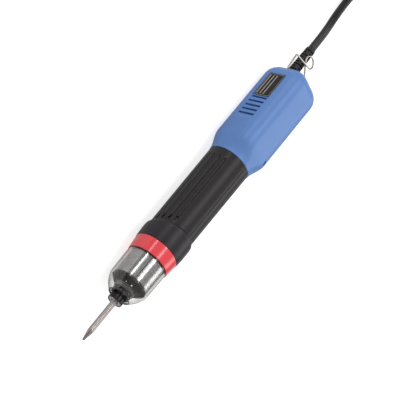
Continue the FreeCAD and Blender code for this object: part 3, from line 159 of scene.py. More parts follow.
def hank_points():
    diameter = 2 * CORD_RADIUS / MM
    middle = (HANK_NEAR + HANK_FAR) / 2
    points = [(HANK_NEAR, HANK_Y + HANK_FOLD, diameter / 2)]
    for layer in range(HANK_LAYERS):
        height = diameter * (layer + 0.5)
        points.append((middle, HANK_Y + HANK_FOLD, height))
        points += fold_points(HANK_FAR, math.pi / 2, height, 0.0)
        points.append((middle, HANK_Y - HANK_FOLD, height))
        if layer < HANK_LAYERS - 1:
            points += fold_points(HANK_NEAR, -math.pi / 2, height, diameter)
    return points + [(HANK_NEAR, HANK_Y - HANK_FOLD, height)]


def nurbs_line(name, points, radius):
    curve = bpy.data.curves.new(name, "CURVE")
    curve.dimensions = "3D"
    curve.bevel_depth = 1.0
    curve.bevel_resolution = 7
    curve.resolution_u = 5
    curve.use_fill_caps = True
    spline = curve.splines.new("NURBS")
    spline.points.add(len(points) - 1)
    for point, place in zip(spline.points, points):
        point.co = (*place, 1.0)
        point.radius = radius
    spline.order_u = 3
    spline.use_endpoint_u = True
    piece = bpy.data.objects.new(name, curve)
    bpy.context.scene.collection.objects.link(piece)
    return piece


cord_places = LEAD_POINTS + hank_points() + TAIL_POINTS
cord = nurbs_line("cord", [Vector(p) * MM for p in cord_places], CORD_RADIUS)
print("control points along the cord:", len(cord_places))

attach(cord, "root")
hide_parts("cord_lead", "cord_hank", "cord_tail")
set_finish(cord, "cord_black")

# %% [markdown]
# ## Drawing tools
# Nearly everything here is turned, so most pieces are a profile of (x, radius) points swept round the tool
# axis. A moulded or machined edge is never quite sharp: `soften` rounds each corner of a profile a little
# and keeps a line of vertices on both sides of the rounding, so the flats beside it stay flat in the
# reflections. A point of a profile may also carry its own size of rounding and a lean, which the collar
# needs.

# %% Soften a profile
NEARLY_STRAIGHT = 176.0
EDGE_SHARE = 0.4
GUARD = 1.2


def soften(profile, size=0.3, steps=4):
    result = []
    count = len(profile)
    for i, corner in enumerate(profile):
        here = Vector(corner[:2])
        before = Vector(profile[i - 1][:2]) - here
        after = Vector(profile[(i + 1) % count][:2]) - here
        lean = corner[3] if len(corner) > 3 else 0.0
        reach = corner[2] if len(corner) > 2 else size
        if reach <= 0 or before.angle(after, 0.0) > math.radians(NEARLY_STRAIGHT):
            result.append((here.x, here.y, lean))
            continue
        back = min(reach, EDGE_SHARE * before.length)
        ahead = min(reach, EDGE_SHARE * after.length)
        before.normalize()
        after.normalize()
        start, end = here + before * back, here + after * ahead
        result.append((*(here + before * back * GUARD), lean))
        for k in range(steps + 1):
            t = k / steps
            point = start.lerp(here, t).lerp(here.lerp(end, t), t)
            result.append((point.x, point.y, lean))
        result.append((*(here + after * ahead * GUARD), lean))
    return result


# %% [markdown]
# A piece is a mesh with a body to ride on and a slot for its finish. `skin` joins rows of points with
# faces, and `lathe` makes those rows by carrying a profile round the axis. Its `warp` may move a point on
# the way, which is how grooves, slots and threads come into a turned piece without a boolean.

# %% Sweep a profile and register the piece
CENTRE = (0.0, AXIS_Z / MM)
SHARP = 32.0
MERGE = 2e-7


def around(x, radius, turn, centre=CENTRE):
    return Vector((x, centre[0] - radius * math.sin(turn), centre[1] + radius * math.cos(turn)))


def even_turns(count):
    return [2 * math.pi * k / count for k in range(count)]


def skin(bm, rows, closed_rows=True, closed_columns=True):
    grid = [[bm.verts.new(place * MM) for place in row] for row in rows]
    columns = len(rows[0])
    for i in range(len(rows) - (0 if closed_rows else 1)):
        low, high = grid[i], grid[(i + 1) % len(rows)]
        for j in range(columns - (0 if closed_columns else 1)):
            k = (j + 1) % columns
            bm.faces.new((low[j], low[k], high[k], high[j]))
    return grid


def add_piece(name, mesh, body, slot, nodes):
    piece = bpy.data.objects.new(name, mesh)
    bpy.context.scene.collection.objects.link(piece)
    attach(piece, body)
    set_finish(piece, slot)
    if nodes:
        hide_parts(*nodes)
    print("made", name, "on", body, "in", slot)


def close_mesh(name, bm):
    bmesh.ops.remove_doubles(bm, verts=bm.verts, dist=MERGE)
    bmesh.ops.recalc_face_normals(bm, faces=bm.faces)
    mesh = bpy.data.meshes.new(name)
    bm.to_mesh(mesh)
    bm.free()
    mesh.shade_smooth()
    mesh.set_sharp_from_angle(angle=math.radians(SHARP))
    return mesh


def lathe(name, profile, body, slot, nodes=(), turns=None, warp=None, centre=CENTRE):
    bm = bmesh.new()
    rows = []
    for x, radius, lean in [(*p, 0.0)[:3] for p in profile]:
        row = []
        for turn in turns or even_turns(96):
            place = (x - lean * radius * math.cos(turn), radius)
            if warp:
                place = warp(*place, turn)
            row.append(around(*place, turn, centre))
        rows.append(row)
    skin(bm, rows)
    add_piece(name, close_mesh(name, bm), body, slot, nodes)


# %% [markdown]
# ## Materials
# `paint` mixes two layers of noise. A slow one drifts between two close tones, as moulded plastic and oxide
# do. A fine one is the grain of the mould or the cutter, which moves both roughness and bump. Metal gets
# its grain pulled out along one direction, which is what turning and drawing leave behind.

# %% Small helpers that wire nodes together
def node_chain(name):
    material = bpy.data.materials.new(name)
    material.use_nodes = True
    tree = material.node_tree
    shader = tree.nodes["Principled BSDF"]
    place = tree.nodes.new("ShaderNodeTexCoord").outputs["Object"]
    return material, tree, shader, place


def noise(tree, place, scale, stretch=(1, 1, 1), detail=2.0):
    mapping = tree.nodes.new("ShaderNodeMapping")
    mapping.inputs["Scale"].default_value = stretch
    tree.links.new(place, mapping.inputs["Vector"])
    texture = tree.nodes.new("ShaderNodeTexNoise")
    texture.inputs["Scale"].default_value = scale
    texture.inputs["Detail"].default_value = detail
    tree.links.new(mapping.outputs["Vector"], texture.inputs["Vector"])
    return texture.outputs["Fac"]


def spread(tree, value, low, high, start=0.3, stop=0.7):
    node = tree.nodes.new("ShaderNodeMapRange")
    node.inputs["From Min"].default_value = start
    node.inputs["From Max"].default_value = stop
    node.inputs["To Min"].default_value = low
    node.inputs["To Max"].default_value = high
    tree.links.new(value, node.inputs["Value"])
    return node.outputs["Result"]


def blend_colours(tree, fac, first, second):
    node = tree.nodes.new("ShaderNodeMix")
    node.data_type = "RGBA"
    tree.links.new(fac, node.inputs["Factor"])
    for socket, colour in ((node.inputs[6], first), (node.inputs[7], second)):
        if isinstance(colour, tuple):
            socket.default_value = (*colour, 1.0)
        else:
            tree.links.new(colour, socket)
    return node.outputs[2]


# %% Paint, metal and plastic
TONE_SHIFT = 0.86
GRAIN_HEIGHT = 0.00006


def paint(name, tones, rough, metallic=0.0, drift=60.0, grain=1400.0, stretch=(1, 1, 1), bump=0.1,
          **sockets):
    material, tree, shader, place = node_chain(name)
    colour = blend_colours(tree, spread(tree, noise(tree, place, drift), 0.0, 1.0), *tones)
    fine = noise(tree, place, grain, stretch, 3.0)
    tree.links.new(colour, shader.inputs["Base Color"])
    tree.links.new(spread(tree, fine, *rough), shader.inputs["Roughness"])
    relief = tree.nodes.new("ShaderNodeBump")
    relief.inputs["Strength"].default_value = bump
    relief.inputs["Distance"].default_value = GRAIN_HEIGHT
    tree.links.new(fine, relief.inputs["Height"])
    tree.links.new(relief.outputs["Normal"], shader.inputs["Normal"])
    shader.inputs["Metallic"].default_value = metallic
    for socket, value in sockets.items():
        shader.inputs[socket.replace("_", " ")].default_value = value
    return material


def metal(name, tone, rough, stretch=(1, 1, 1), grain=900.0, bump=0.08):
    darker = tuple(c * TONE_SHIFT for c in tone)
    return paint(name, (tone, darker), rough, 1.0, 90.0, grain, stretch, bump)


def plastic(name, tone, rough, bump=0.12, grain=1400.0, shift=TONE_SHIFT, **sockets):
    other = tuple(c * shift for c in tone)
    return paint(name, (tone, other), rough, 0.0, 45.0, grain, (1, 1, 1), bump, **sockets)


# %% [markdown]
# Every finish of the tool is one line: its tone, the range of its roughness and the strength of its grain.
# Turned metal is stretched round the axis and drawn wire along it. The blacks differ a little, because
# moulded, blackened and rubber parts never match on a real tool.

# %% The finishes
TURNED = (6.0, 0.15, 0.15)
DRAWN = (0.15, 6.0, 6.0)
looks = {
    "blue_shell": plastic("blue_shell", (0.118, 0.258, 0.61), (0.36, 0.46), 0.10, shift=0.93),
    "grip_black": plastic("grip_black", (0.016, 0.0125, 0.014), (0.34, 0.48), 0.25, 1800.0,
                          Specular_IOR_Level=0.38),
    "collar_black": plastic("collar_black", (0.017, 0.0135, 0.019), (0.36, 0.46), 0.15,
                            Specular_IOR_Level=0.4),
    "ring_red": plastic("ring_red", (0.93, 0.055, 0.075), (0.22, 0.30), 0.05, shift=0.94, Coat_Weight=0.6),
    "switch_black": plastic("switch_black", (0.03, 0.03, 0.032), (0.35, 0.5)),
    "rubber_black": plastic("rubber_black", (0.016, 0.015, 0.016), (0.42, 0.56), 0.3, 1200.0),
    "cord_black": plastic("cord_black", (0.012, 0.011, 0.012), (0.16, 0.24), 0.05, 700.0),
    "black_screw": metal("black_screw", (0.05, 0.05, 0.055), (0.3, 0.45)),
    "nut_black": metal("nut_black", (0.032, 0.030, 0.029), (0.28, 0.4), TURNED),
    "sleeve_black": metal("sleeve_black", (0.035, 0.034, 0.036), (0.2, 0.34), TURNED),
    "cast_aluminium": metal("cast_aluminium", (0.30, 0.285, 0.265), (0.28, 0.45), TURNED),
    "bronze": metal("bronze", (0.55, 0.36, 0.18), (0.4, 0.55)),
    "polished_steel": metal("polished_steel", (0.42, 0.41, 0.415), (0.2, 0.28), TURNED, 700.0, 0.03),
    "spring_steel": metal("spring_steel", (0.42, 0.42, 0.44), (0.25, 0.4)),
    "gear_steel": metal("gear_steel", (0.45, 0.45, 0.46), (0.25, 0.42), TURNED),
    "bit_steel": metal("bit_steel", (0.44, 0.395, 0.38), (0.24, 0.28), DRAWN, 300.0, 0.01),
    "motor_can": metal("motor_can", (0.32, 0.32, 0.34), (0.35, 0.5)),
    "copper_wire": metal("copper_wire", (0.72, 0.30, 0.14), (0.25, 0.4), TURNED),
    "magnet": metal("magnet", (0.16, 0.16, 0.17), (0.4, 0.6)),
    "wire_steel": metal("wire_steel", (0.55, 0.51, 0.47), (0.16, 0.28), DRAWN),
    "connector_metal": metal("connector_metal", (0.62, 0.62, 0.63), (0.2, 0.32), TURNED),
    "brass_pins": metal("brass_pins", (0.80, 0.58, 0.24), (0.15, 0.25)),
    "board_green": plastic("board_green", (0.015, 0.16, 0.06), (0.25, 0.35)),
    "board_parts": plastic("board_parts", (0.05, 0.05, 0.06), (0.3, 0.5)),
}
print("plain finishes:", len(looks))

# %% [markdown]
# The real cover is a clear moulding. It bends the light that goes through, and looks darker where it slants
# away, because more plastic stands in the way there. So the shader transmits, and its tint follows the
# slant. Rays that only look for shadow pass straight on, so the metal under the cover is lit as the room
# lights it.

# %% The clear plastic
COVER_FACE, COVER_EDGE = (0.95, 0.95, 0.94), (0.50, 0.45, 0.38)
COVER_SHADOW = (0.92, 0.93, 0.93, 1.0)
COVER_IOR = 1.49


def clear_plastic():
    material, tree, shader, place = node_chain("clear_plastic")
    slant = tree.nodes.new("ShaderNodeLayerWeight")
    slant.inputs["Blend"].default_value = 0.5
    edge = spread(tree, slant.outputs["Facing"], 0.0, 1.0, 0.5, 0.95)
    tint = blend_colours(tree, edge, COVER_FACE, COVER_EDGE)
    tree.links.new(tint, shader.inputs["Base Color"])
    shader.inputs["Transmission Weight"].default_value = 1.0
    shader.inputs["IOR"].default_value = COVER_IOR
    tree.links.new(spread(tree, noise(tree, place, 500.0), 0.02, 0.06), shader.inputs["Roughness"])
    unbent = tree.nodes.new("ShaderNodeBsdfTransparent")
    unbent.inputs["Color"].default_value = COVER_SHADOW
    ray = tree.nodes.new("ShaderNodeLightPath")
    mix = tree.nodes.new("ShaderNodeMixShader")
    tree.links.new(ray.outputs["Is Shadow Ray"], mix.inputs["Fac"])
    tree.links.new(shader.outputs["BSDF"], mix.inputs[1])
    tree.links.new(unbent.outputs["BSDF"], mix.inputs[2])
    tree.links.new(mix.outputs["Shader"], tree.nodes["Material Output"].inputs["Surface"])
    return material


looks["clear_plastic"] = clear_plastic()
print("clear cover, refractive index", COVER_IOR)

# %% [markdown]
# The name plate is bare: a dark anodised sheet with a pale border line and plain ruled bars, which only
# fill the place where a rating table would sit. The bars come from a wave along the height of the plate,
# and a window, which is one rise times one fall, keeps them and the border where they belong.

# %% Windows over a coordinate
plate_low, plate_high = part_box("name_plate")
LINE_SOFTNESS = 0.00008


def maths(tree, operation, first, second):
    node = tree.nodes.new("ShaderNodeMath")
    node.operation = operation
    for socket, value in zip(node.inputs, (first, second)):
        if isinstance(value, float):
            socket.default_value = value
        else:
            tree.links.new(value, socket)
    return node.outputs["Value"]


def window(tree, value, low, high):
    rise = spread(tree, value, 0.0, 1.0, low - LINE_SOFTNESS, low + LINE_SOFTNESS)
    fall = spread(tree, value, 1.0, 0.0, high - LINE_SOFTNESS, high + LINE_SOFTNESS)
    return maths(tree, "MULTIPLY", rise, fall)


def panel(tree, x, z, side, foot, head):
    along = window(tree, x, plate_low.x + side * MM, plate_high.x - side * MM)
    upright = window(tree, z, plate_low.z + foot * MM, plate_high.z - head * MM)
    return maths(tree, "MULTIPLY", along, upright)


# %% The plate's ruled finish
PLATE_MARGIN, BORDER_LINE, BAR_PITCH = 0.8, 0.3, 3.4
TABLE_SIDE, TABLE_FOOT, TABLE_HEAD = 2.2, 2.0, 6.2
PLATE_DARK, PLATE_WORN, PLATE_PALE = (0.010, 0.009, 0.009), (0.022, 0.018, 0.015), (0.50, 0.45, 0.39)


def plate_finish():
    material, tree, shader, place = node_chain("plate_black")
    split = tree.nodes.new("ShaderNodeSeparateXYZ")
    tree.links.new(place, split.inputs["Vector"])
    x, z = split.outputs["X"], split.outputs["Z"]
    within = PLATE_MARGIN + BORDER_LINE
    border = maths(tree, "SUBTRACT", panel(tree, x, z, PLATE_MARGIN, PLATE_MARGIN, PLATE_MARGIN),
                   panel(tree, x, z, within, within, within))
    wave = maths(tree, "SINE", maths(tree, "MULTIPLY", z, 2 * math.pi / (BAR_PITCH * MM)), 0.0)
    bars = maths(tree, "MULTIPLY", spread(tree, wave, 0.0, 1.0, 0.45, 0.65),
                 panel(tree, x, z, TABLE_SIDE, TABLE_FOOT, TABLE_HEAD))
    marks = maths(tree, "MULTIPLY", maths(tree, "MAXIMUM", bars, border), 0.8)
    ground = blend_colours(tree, spread(tree, noise(tree, place, 140.0), 0.0, 1.0), PLATE_DARK, PLATE_WORN)
    tree.links.new(blend_colours(tree, marks, ground, PLATE_PALE), shader.inputs["Base Color"])
    tree.links.new(spread(tree, noise(tree, place, 900.0), 0.22, 0.34), shader.inputs["Roughness"])
    shader.inputs["Specular IOR Level"].default_value = 0.2
    return material


looks["plate_black"] = plate_finish()
print("plate bars every", BAR_PITCH, "mm")

# %% [markdown]
# ## The blue rear housing
# The shell is lofted through rounded squares: a round neck at the grip that eases into the square body, and
# a domed end. The inside is the same law, one wall smaller. Louvres, the plate's recess, the switch slot
# and the holes are then cut out of the closed shell, and every edge left by a cut is broken with a bevel.

# %% Loft the housing
NECK_RADIUS = 18.9
NECK_FRONT = 51.5
FLARE_END = 34.0
FLAT_END = -33.0
DOME_RADIUS = 14.0
DOME_TURNS = (87, 82, 76, 70, 64, 58, 52, 46, 40, 34, 28, 22, 16, 10, 5, 2)
DOME_PINCH, LEAST_CORNER = 0.72, 2.2
BODY_STEPS, FLARE_STEPS = 10, 14
NECK_FLAT, NECK_EDGE = 0.1, 0.25
CORNER = 12.0
WALL = 2.0
HOUSING_HALF = HALF / MM
FLAT_STEPS = (0.0, 0.15, 0.35, 0.65, 0.85)
CORNER_STEPS = 15


def square_ring(x, half, corner):
    row = []
    flat = half - corner
    for k in range(4):
        turn = math.radians(90 * k)
        side = Vector((0, math.cos(turn), math.sin(turn)))
        rise = Vector((0, -math.sin(turn), math.cos(turn)))
        centre = Vector((x, CENTRE[0], CENTRE[1]))
        for t in FLAT_STEPS:
            row.append(centre + side * half + rise * flat * (2 * t - 1))
        for step in range(CORNER_STEPS):
            bend = math.radians(90 * step / CORNER_STEPS)
            outward = side * math.cos(bend) + rise * math.sin(bend)
            row.append(centre + (side + rise) * flat + outward * corner)
    return row


def housing_rows(inset):
    rows = []
    for degrees in DOME_TURNS:
        turn = math.radians(degrees)
        radius = DOME_RADIUS - inset
        shrink = radius * (1 - math.cos(turn))
        corner = max(CORNER - inset - shrink * DOME_PINCH, LEAST_CORNER)
        rows.append(square_ring(FLAT_END - radius * math.sin(turn), HOUSING_HALF - inset - shrink, corner))
    for k in range(BODY_STEPS + 1):
        x = FLAT_END + (FLARE_END - FLAT_END) * k / BODY_STEPS
        rows.append(square_ring(x, HOUSING_HALF - inset, CORNER - inset))
    for k in range(1, FLARE_STEPS + 1):
        t = 1 - k / FLARE_STEPS
        ease = t * t * (3 - 2 * t)
        half = NECK_RADIUS + (HOUSING_HALF - NECK_RADIUS) * ease - inset
        tight = NECK_RADIUS - inset - NECK_FLAT
        corner = tight + (CORNER - inset - tight) * ease
        edge = NECK_EDGE if inset == 0 and k == FLARE_STEPS else 0.0
        rows.append(square_ring(NECK_FRONT + (FLARE_END - NECK_FRONT) * t, half - edge, corner - edge))
        if k == FLARE_STEPS - 1 and inset == 0:
            rows.append(square_ring(NECK_FRONT - NECK_EDGE, NECK_RADIUS, NECK_RADIUS - NECK_FLAT))
    return rows


def capped(rows):
    first = [sum(rows[0], Vector()) / len(rows[0])] * len(rows[0])
    return [first] + rows


shell = bmesh.new()
skin(shell, capped(housing_rows(0.0)) + capped(housing_rows(WALL))[::-1], closed_rows=False)
print("housing shell:", len(shell.verts), "points")

# %% [markdown]
# The real shell is moulded with its openings. Here they are cut out, because a boolean keeps the flats of
# the shell as they are. Each cutter is a prism, a box or a drilled round, and all of them go into one mesh.

# %% Cutters
def prism(bm, corners, direction):
    low = [bm.verts.new(Vector(c) * MM) for c in corners]
    high = [bm.verts.new((Vector(c) + Vector(direction)) * MM) for c in corners]
    bm.faces.new(low)
    bm.faces.new(high[::-1])
    for k in range(len(corners)):
        n = (k + 1) % len(corners)
        bm.faces.new((low[k], high[k], high[n], low[n]))


def box_cut(bm, x0, x1, y0, y1, z0, z1):
    prism(bm, [(x0, y0, z0), (x1, y0, z0), (x1, y1, z0), (x0, y1, z0)], (0, 0, z1 - z0))


def drill(bm, start, direction, radius, length, steps=24):
    direction = Vector(direction).normalized()
    side = direction.orthogonal().normalized()
    other = direction.cross(side)
    corners = []
    for turn in even_turns(steps):
        corners.append(Vector(start) + (side * math.cos(turn) + other * math.sin(turn)) * radius)
    prism(bm, corners, direction * length)


# %% Take the cutters out of a shell and break the edges
def carve(name, solid, cutters, width):
    made = []
    for bm in (solid, cutters):
        bmesh.ops.remove_doubles(bm, verts=bm.verts, dist=MERGE)
        bmesh.ops.recalc_face_normals(bm, faces=bm.faces)
        mesh = bpy.data.meshes.new(name)
        bm.to_mesh(mesh)
        bm.free()
        made.append(bpy.data.objects.new("making", mesh))
        bpy.context.scene.collection.objects.link(made[-1])
    cut = made[0].modifiers.new("cut", "BOOLEAN")
    cut.operation = "DIFFERENCE"
    cut.solver = "EXACT"
    cut.object = made[1]
    bevel = made[0].modifiers.new("bevel", "BEVEL")
    bevel.width = width * MM
    bevel.segments = 2
    bevel.limit_method = "ANGLE"
    bevel.angle_limit = math.radians(40)
    bevel.use_clamp_overlap = True
    ready = made[0].evaluated_get(bpy.context.evaluated_depsgraph_get())
    mesh = bpy.data.meshes.new_from_object(ready)
    for thing in made:
        bpy.data.objects.remove(thing)
    mesh.name = name
    mesh.shade_smooth()
    mesh.set_sharp_from_angle(angle=math.radians(SHARP))
    return mesh


# %% [markdown]
# A louvre is a slot with a ramp behind it, which turns the air along the shell and hides the inside. There
# are five on each flank. The plate lies in a shallow recess, the direction knob slides in a slot, the screw
# sits in a counterbore on the rounded corner, and the bail's pins go into two small holes.

# %% Cut the louvres, the recess, the slot and the holes
LOUVRE_FRONT, LOUVRE_PITCH, LOUVRE_COUNT = 13.4, 4.65, 5
LOUVRE_HEIGHT, LOUVRE_SLOT, LOUVRE_RAMP = 16.0, 0.75, 2.8
PLATE_RECESS, PLATE_PLAY = 0.45, 0.02
KNOB_TRAVEL, KNOB_PLAY = 2.6, 0.1
RELIEF_DROP, RELIEF_HOLE = 9.9, 4.87
SCREW_X, SCREW_TILT = 34.0, math.radians(22)
HEAD_DEPTH, HEAD_HOLE = 1.7, 1.92
SHANK_DEPTH, SHANK_HOLE = 4.5, 0.92
PIVOT_HOLE = 0.75
EDGE_BREAK = 0.22
cuts = bmesh.new()
middle = CENTRE[1]
PIVOT = Vector((-43.0, 0.0, middle + 0.8))
for side in (-1, 1):
    for k in range(LOUVRE_COUNT):
        x = LOUVRE_FRONT - k * LOUVRE_PITCH
        low = middle - LOUVRE_HEIGHT / 2
        half = LOUVRE_SLOT / 2
        outside, surface = side * (HOUSING_HALF + 1), side * HOUSING_HALF
        deep, inside = side * (HOUSING_HALF - WALL * 0.6), side * (HOUSING_HALF - WALL - 1)
        section = [(x - half, inside), (x - half, outside), (x + half + LOUVRE_RAMP, outside),
                   (x + half + LOUVRE_RAMP * 0.8, surface), (x + half, deep), (x + half, inside)]
        prism(cuts, [(*place, low) for place in section], (0, 0, LOUVRE_HEIGHT))
box_cut(cuts, plate_low.x / MM - PLATE_PLAY, plate_high.x / MM + PLATE_PLAY, -HOUSING_HALF - 1,
        PLATE_RECESS - HOUSING_HALF, plate_low.z / MM - PLATE_PLAY, plate_high.z / MM + PLATE_PLAY)
knob_low, knob_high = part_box("direction_knob")
box_cut(cuts, knob_low.x / MM - KNOB_TRAVEL, knob_high.x / MM + KNOB_TRAVEL, HOUSING_HALF - WALL - 1,
        HOUSING_HALF + 1, knob_low.z / MM - KNOB_PLAY, knob_high.z / MM + KNOB_PLAY)
drill(cuts, (-50.0, 0.0, middle - RELIEF_DROP), (1, 0, 0), RELIEF_HOLE, 14.0, 48)
outward = Vector((0, math.sin(SCREW_TILT), math.cos(SCREW_TILT)))
corner_middle = Vector((SCREW_X, HOUSING_HALF - CORNER, middle + HOUSING_HALF - CORNER))
drill(cuts, corner_middle + outward * (CORNER - HEAD_DEPTH), outward, HEAD_HOLE, 4.0)
drill(cuts, corner_middle + outward * (CORNER - SHANK_DEPTH), outward, SHANK_HOLE, 4.0)
for side in (-1, 1):
    drill(cuts, (PIVOT.x, side * 11.0, PIVOT.z), (0, side, 0), PIVOT_HOLE, 8.0, 16)
add_piece("rear_housing_shell", carve("rear_housing_shell", shell, cuts, EDGE_BREAK), "root", "blue_shell",
          ["rear_housing"])

# %% [markdown]
# The plate is a stamped sheet with rounded corners. Three rings of points give it a back, an edge and a
# soft rim, which catches the light as a stamped edge does.

# %% The name plate
PLATE_CORNER, PLATE_RIM, CORNER_TURN = 1.2, 0.12, 15
plate_middle = (plate_low.x + plate_high.x) / 2 / MM
plate_mesh = bmesh.new()


def plate_ring(y, inset):
    row = []
    half_x = (plate_high.x - plate_low.x) / 2 / MM - inset - PLATE_CORNER
    half_z = (plate_high.z - plate_low.z) / 2 / MM - inset - PLATE_CORNER
    for k, (sx, sz) in enumerate(((1, 1), (-1, 1), (-1, -1), (1, -1))):
        for degrees in range(0, 91, CORNER_TURN):
            turn = math.radians(90 * k + degrees)
            row.append(Vector((plate_middle + sx * half_x + PLATE_CORNER * math.cos(turn), y,
                               middle + sz * half_z + PLATE_CORNER * math.sin(turn))))
    return row


back, front = plate_high.y / MM, plate_low.y / MM
rings = [plate_ring(back, 0.0), plate_ring(front + PLATE_RIM, 0.0), plate_ring(front, PLATE_RIM)]
face = [Vector((plate_middle, front, middle))] * len(rings[0])
skin(plate_mesh, capped(rings) + [face], closed_rows=False)
add_piece("name_plate_sheet", close_mesh("name_plate_sheet", plate_mesh), "root", "plate_black",
          ["name_plate"])

# %% [markdown]
# ## The grip
# Two half shells meet on the upright middle plane, where a fine groove shows along the top. Each half is
# one profile swept through half a turn. The flutes are pressed into that sweep, and because their front
# ends step back one after another, the stations along the tool lean over before they reach the vent slots.

# %% The turns at which a half shell has points
GRIP_FRONT, GRIP_REAR = 140.0, 51.52
GRIP_FRONT_RADIUS, GRIP_REAR_RADIUS = 18.3, 18.6
FLUTE_COUNT, FLUTE_STEP = 5, 16.8
FLUTE_SPANS = (0.0, 0.9, 1.8, 2.45, 2.55, 3.0, 3.5, 3.85, 4.1)
FLUTE_CLEAR = 4.4
SEAM_TURNS = (0.0006, 0.006, 0.014)
flute_turns = [math.radians(90 + (k - 2) * FLUTE_STEP) for k in range(FLUTE_COUNT)]


def half_turns():
    turns = {edge for gap in SEAM_TURNS for edge in (gap, math.pi - gap)}
    turns.update(math.radians(5 * k) for k in range(1, 36))
    for centre in flute_turns:
        turns = {t for t in turns if abs(t - centre) > math.radians(FLUTE_CLEAR)}
        for degrees in FLUTE_SPANS:
            turns.update((centre - math.radians(degrees), centre + math.radians(degrees)))
    return sorted(turns)


print("points round a half shell:", len(half_turns()))

# %% [markdown]
# A flute is the dent that a ball-ended cutter leaves, with a round rear end and an open slot at its front.
# A depth that depends on where a point lies gives all of that in one rule. The seam is two small steps
# beside the edge.

# %% Flutes, vent slots and the seam
FLUTE_RADIUS, FLUTE_DEPTH, FLUTE_REAR, FLUTE_REACH = 1.3, 0.85, 60.0, 4.2
VENT_CENTRE, VENT_SLANT, VENT_HALF, VENT_SPAN, VENT_DEPTH = 128.6, 0.25, 2.2, 2.5, 1.75
LEAN_START, LEAN_END, LEAN_FADE = 70.0, 118.0, 6.0
SEAM_STEPS = ((0.001, 0.22), (0.007, 0.08))


def flute_depth(x, front, offset):
    across = abs(offset) * GRIP_FRONT_RADIUS
    along = max(0.0, FLUTE_REAR - x)
    if x > front or math.hypot(across, along) > FLUTE_RADIUS:
        return 0.0
    height = math.sqrt(max(0.0, FLUTE_RADIUS ** 2 - across ** 2 - along ** 2))
    return max(0.0, height - (FLUTE_RADIUS - FLUTE_DEPTH))


def seam_depth(turn):
    for reach, depth in SEAM_STEPS:
        if min(turn, math.pi - turn) < reach:
            return depth
    return 0.0


def grip_point(x, radius, turn, outer):
    if outer:
        lean = min(1.0, max(0.0, (x - LEAN_START) / (LEAN_END - LEAN_START)))
        ease = min(1.0, (GRIP_FRONT - x) / LEAN_FADE)
        x = x - VENT_SLANT * GRIP_FRONT_RADIUS * math.cos(turn) * lean * ease
        for centre in flute_turns:
            offset = turn - centre
            if abs(offset) < math.radians(FLUTE_REACH):
                front = VENT_CENTRE - VENT_SLANT * GRIP_FRONT_RADIUS * math.cos(centre)
                depth = flute_depth(x, front, offset)
                if abs(x - front) <= VENT_HALF + 0.01 and abs(offset) <= math.radians(VENT_SPAN):
                    depth = VENT_DEPTH
                radius -= depth
        radius -= seam_depth(turn)
    return x, radius


# %% Sweep the two half shells
GRIP_WALL, GRIP_EDGE = 1.9, 0.18
TONGUE_FRONT, TONGUE_REAR, TONGUE_BORE, TONGUE_RADIUS = 57.98, 27.0, 15.0, 16.8


def grip_stations():
    places = [GRIP_REAR, GRIP_REAR + 0.15, 53.0, 55.0, 57.0, 58.4]
    places += [58.75, 58.9, 59.1, 59.4, 59.7, 60.0, 60.5, 62.0, 65.0, 68.0]
    places += [70.0 + 6.0 * k for k in range(8)]
    places += [VENT_CENTRE + d for d in (-4.0, -2.6, -2.25, -2.15, -1.0, 0.0, 1.0, 2.15, 2.25, 2.6, 3.6)]
    return places + [134.0, 137.0, GRIP_FRONT - 0.2, GRIP_FRONT]


def grip_half(name, side, node):
    outline = []
    for x in grip_stations():
        share = (x - GRIP_REAR) / (GRIP_FRONT - GRIP_REAR)
        radius = GRIP_REAR_RADIUS + (GRIP_FRONT_RADIUS - GRIP_REAR_RADIUS) * share
        if x in (GRIP_REAR, GRIP_FRONT):
            radius -= GRIP_EDGE
        outline.append((x, radius, True))
    inner = GRIP_FRONT_RADIUS - GRIP_WALL
    bore = ((GRIP_FRONT, inner), (TONGUE_FRONT, inner), (TONGUE_FRONT, TONGUE_BORE),
            (TONGUE_REAR, TONGUE_BORE), (TONGUE_REAR, TONGUE_RADIUS), (GRIP_REAR, TONGUE_RADIUS))
    outline += [(x, radius, False) for x, radius in bore]
    bm = bmesh.new()
    rows = []
    for x, radius, outer in outline:
        rows.append([around(*grip_point(x, radius, turn, outer), side * turn) for turn in half_turns()])
    grid = skin(bm, rows, closed_columns=False)
    for end in (0, -1):
        bm.faces.new([row[end] for row in grid])
    bmesh.ops.triangulate(bm, faces=[f for f in bm.faces if len(f.verts) > 4])
    add_piece(name, close_mesh(name, bm), "root", "grip_black", [node])


grip_half("grip_half_left", 1, "grip_shell_left")
grip_half("grip_half_right", -1, "grip_shell_right")

# %% [markdown]
# ## Collar, ring and cover
# The collar's rear edge is cut on a slant and rolled over. A profile point with a lean moves along the tool
# with its height, which slants that edge and leaves the front of the collar square.

# %% Turn the collar
LEAN = 0.2
collar_profile = [
    (150.7, 19.7, 0.35, 0.0), (143.7, 20.2, 3.0, 0.0), (137.5, 20.2, 0.0, LEAN), (136.1, 20.2, 0.0, LEAN),
    (135.0, 20.03, 0.0, LEAN), (134.1, 19.58, 0.0, LEAN), (133.4, 19.0, 0.0, LEAN),
    (132.98, 18.42, 0.0, LEAN), (132.98, 18.34, 0.0, LEAN), (140.02, 18.34, 0.0, 0.0),
    (140.02, 16.2, 0.0, 0.0), (154.8, 16.2, 0.1, 0.0), (154.8, 17.0, 0.2, 0.0), (150.7, 17.0, 0.0, 0.0)]
lathe("collar_bell", soften(collar_profile), "root", "collar_black", ["front_collar"])

# %% [markdown]
# The lock ring is a glossy band with two softened edges. The clear cover is turned with a real wall, inside
# and outside, because light bends as it does in plastic only when it meets both faces.

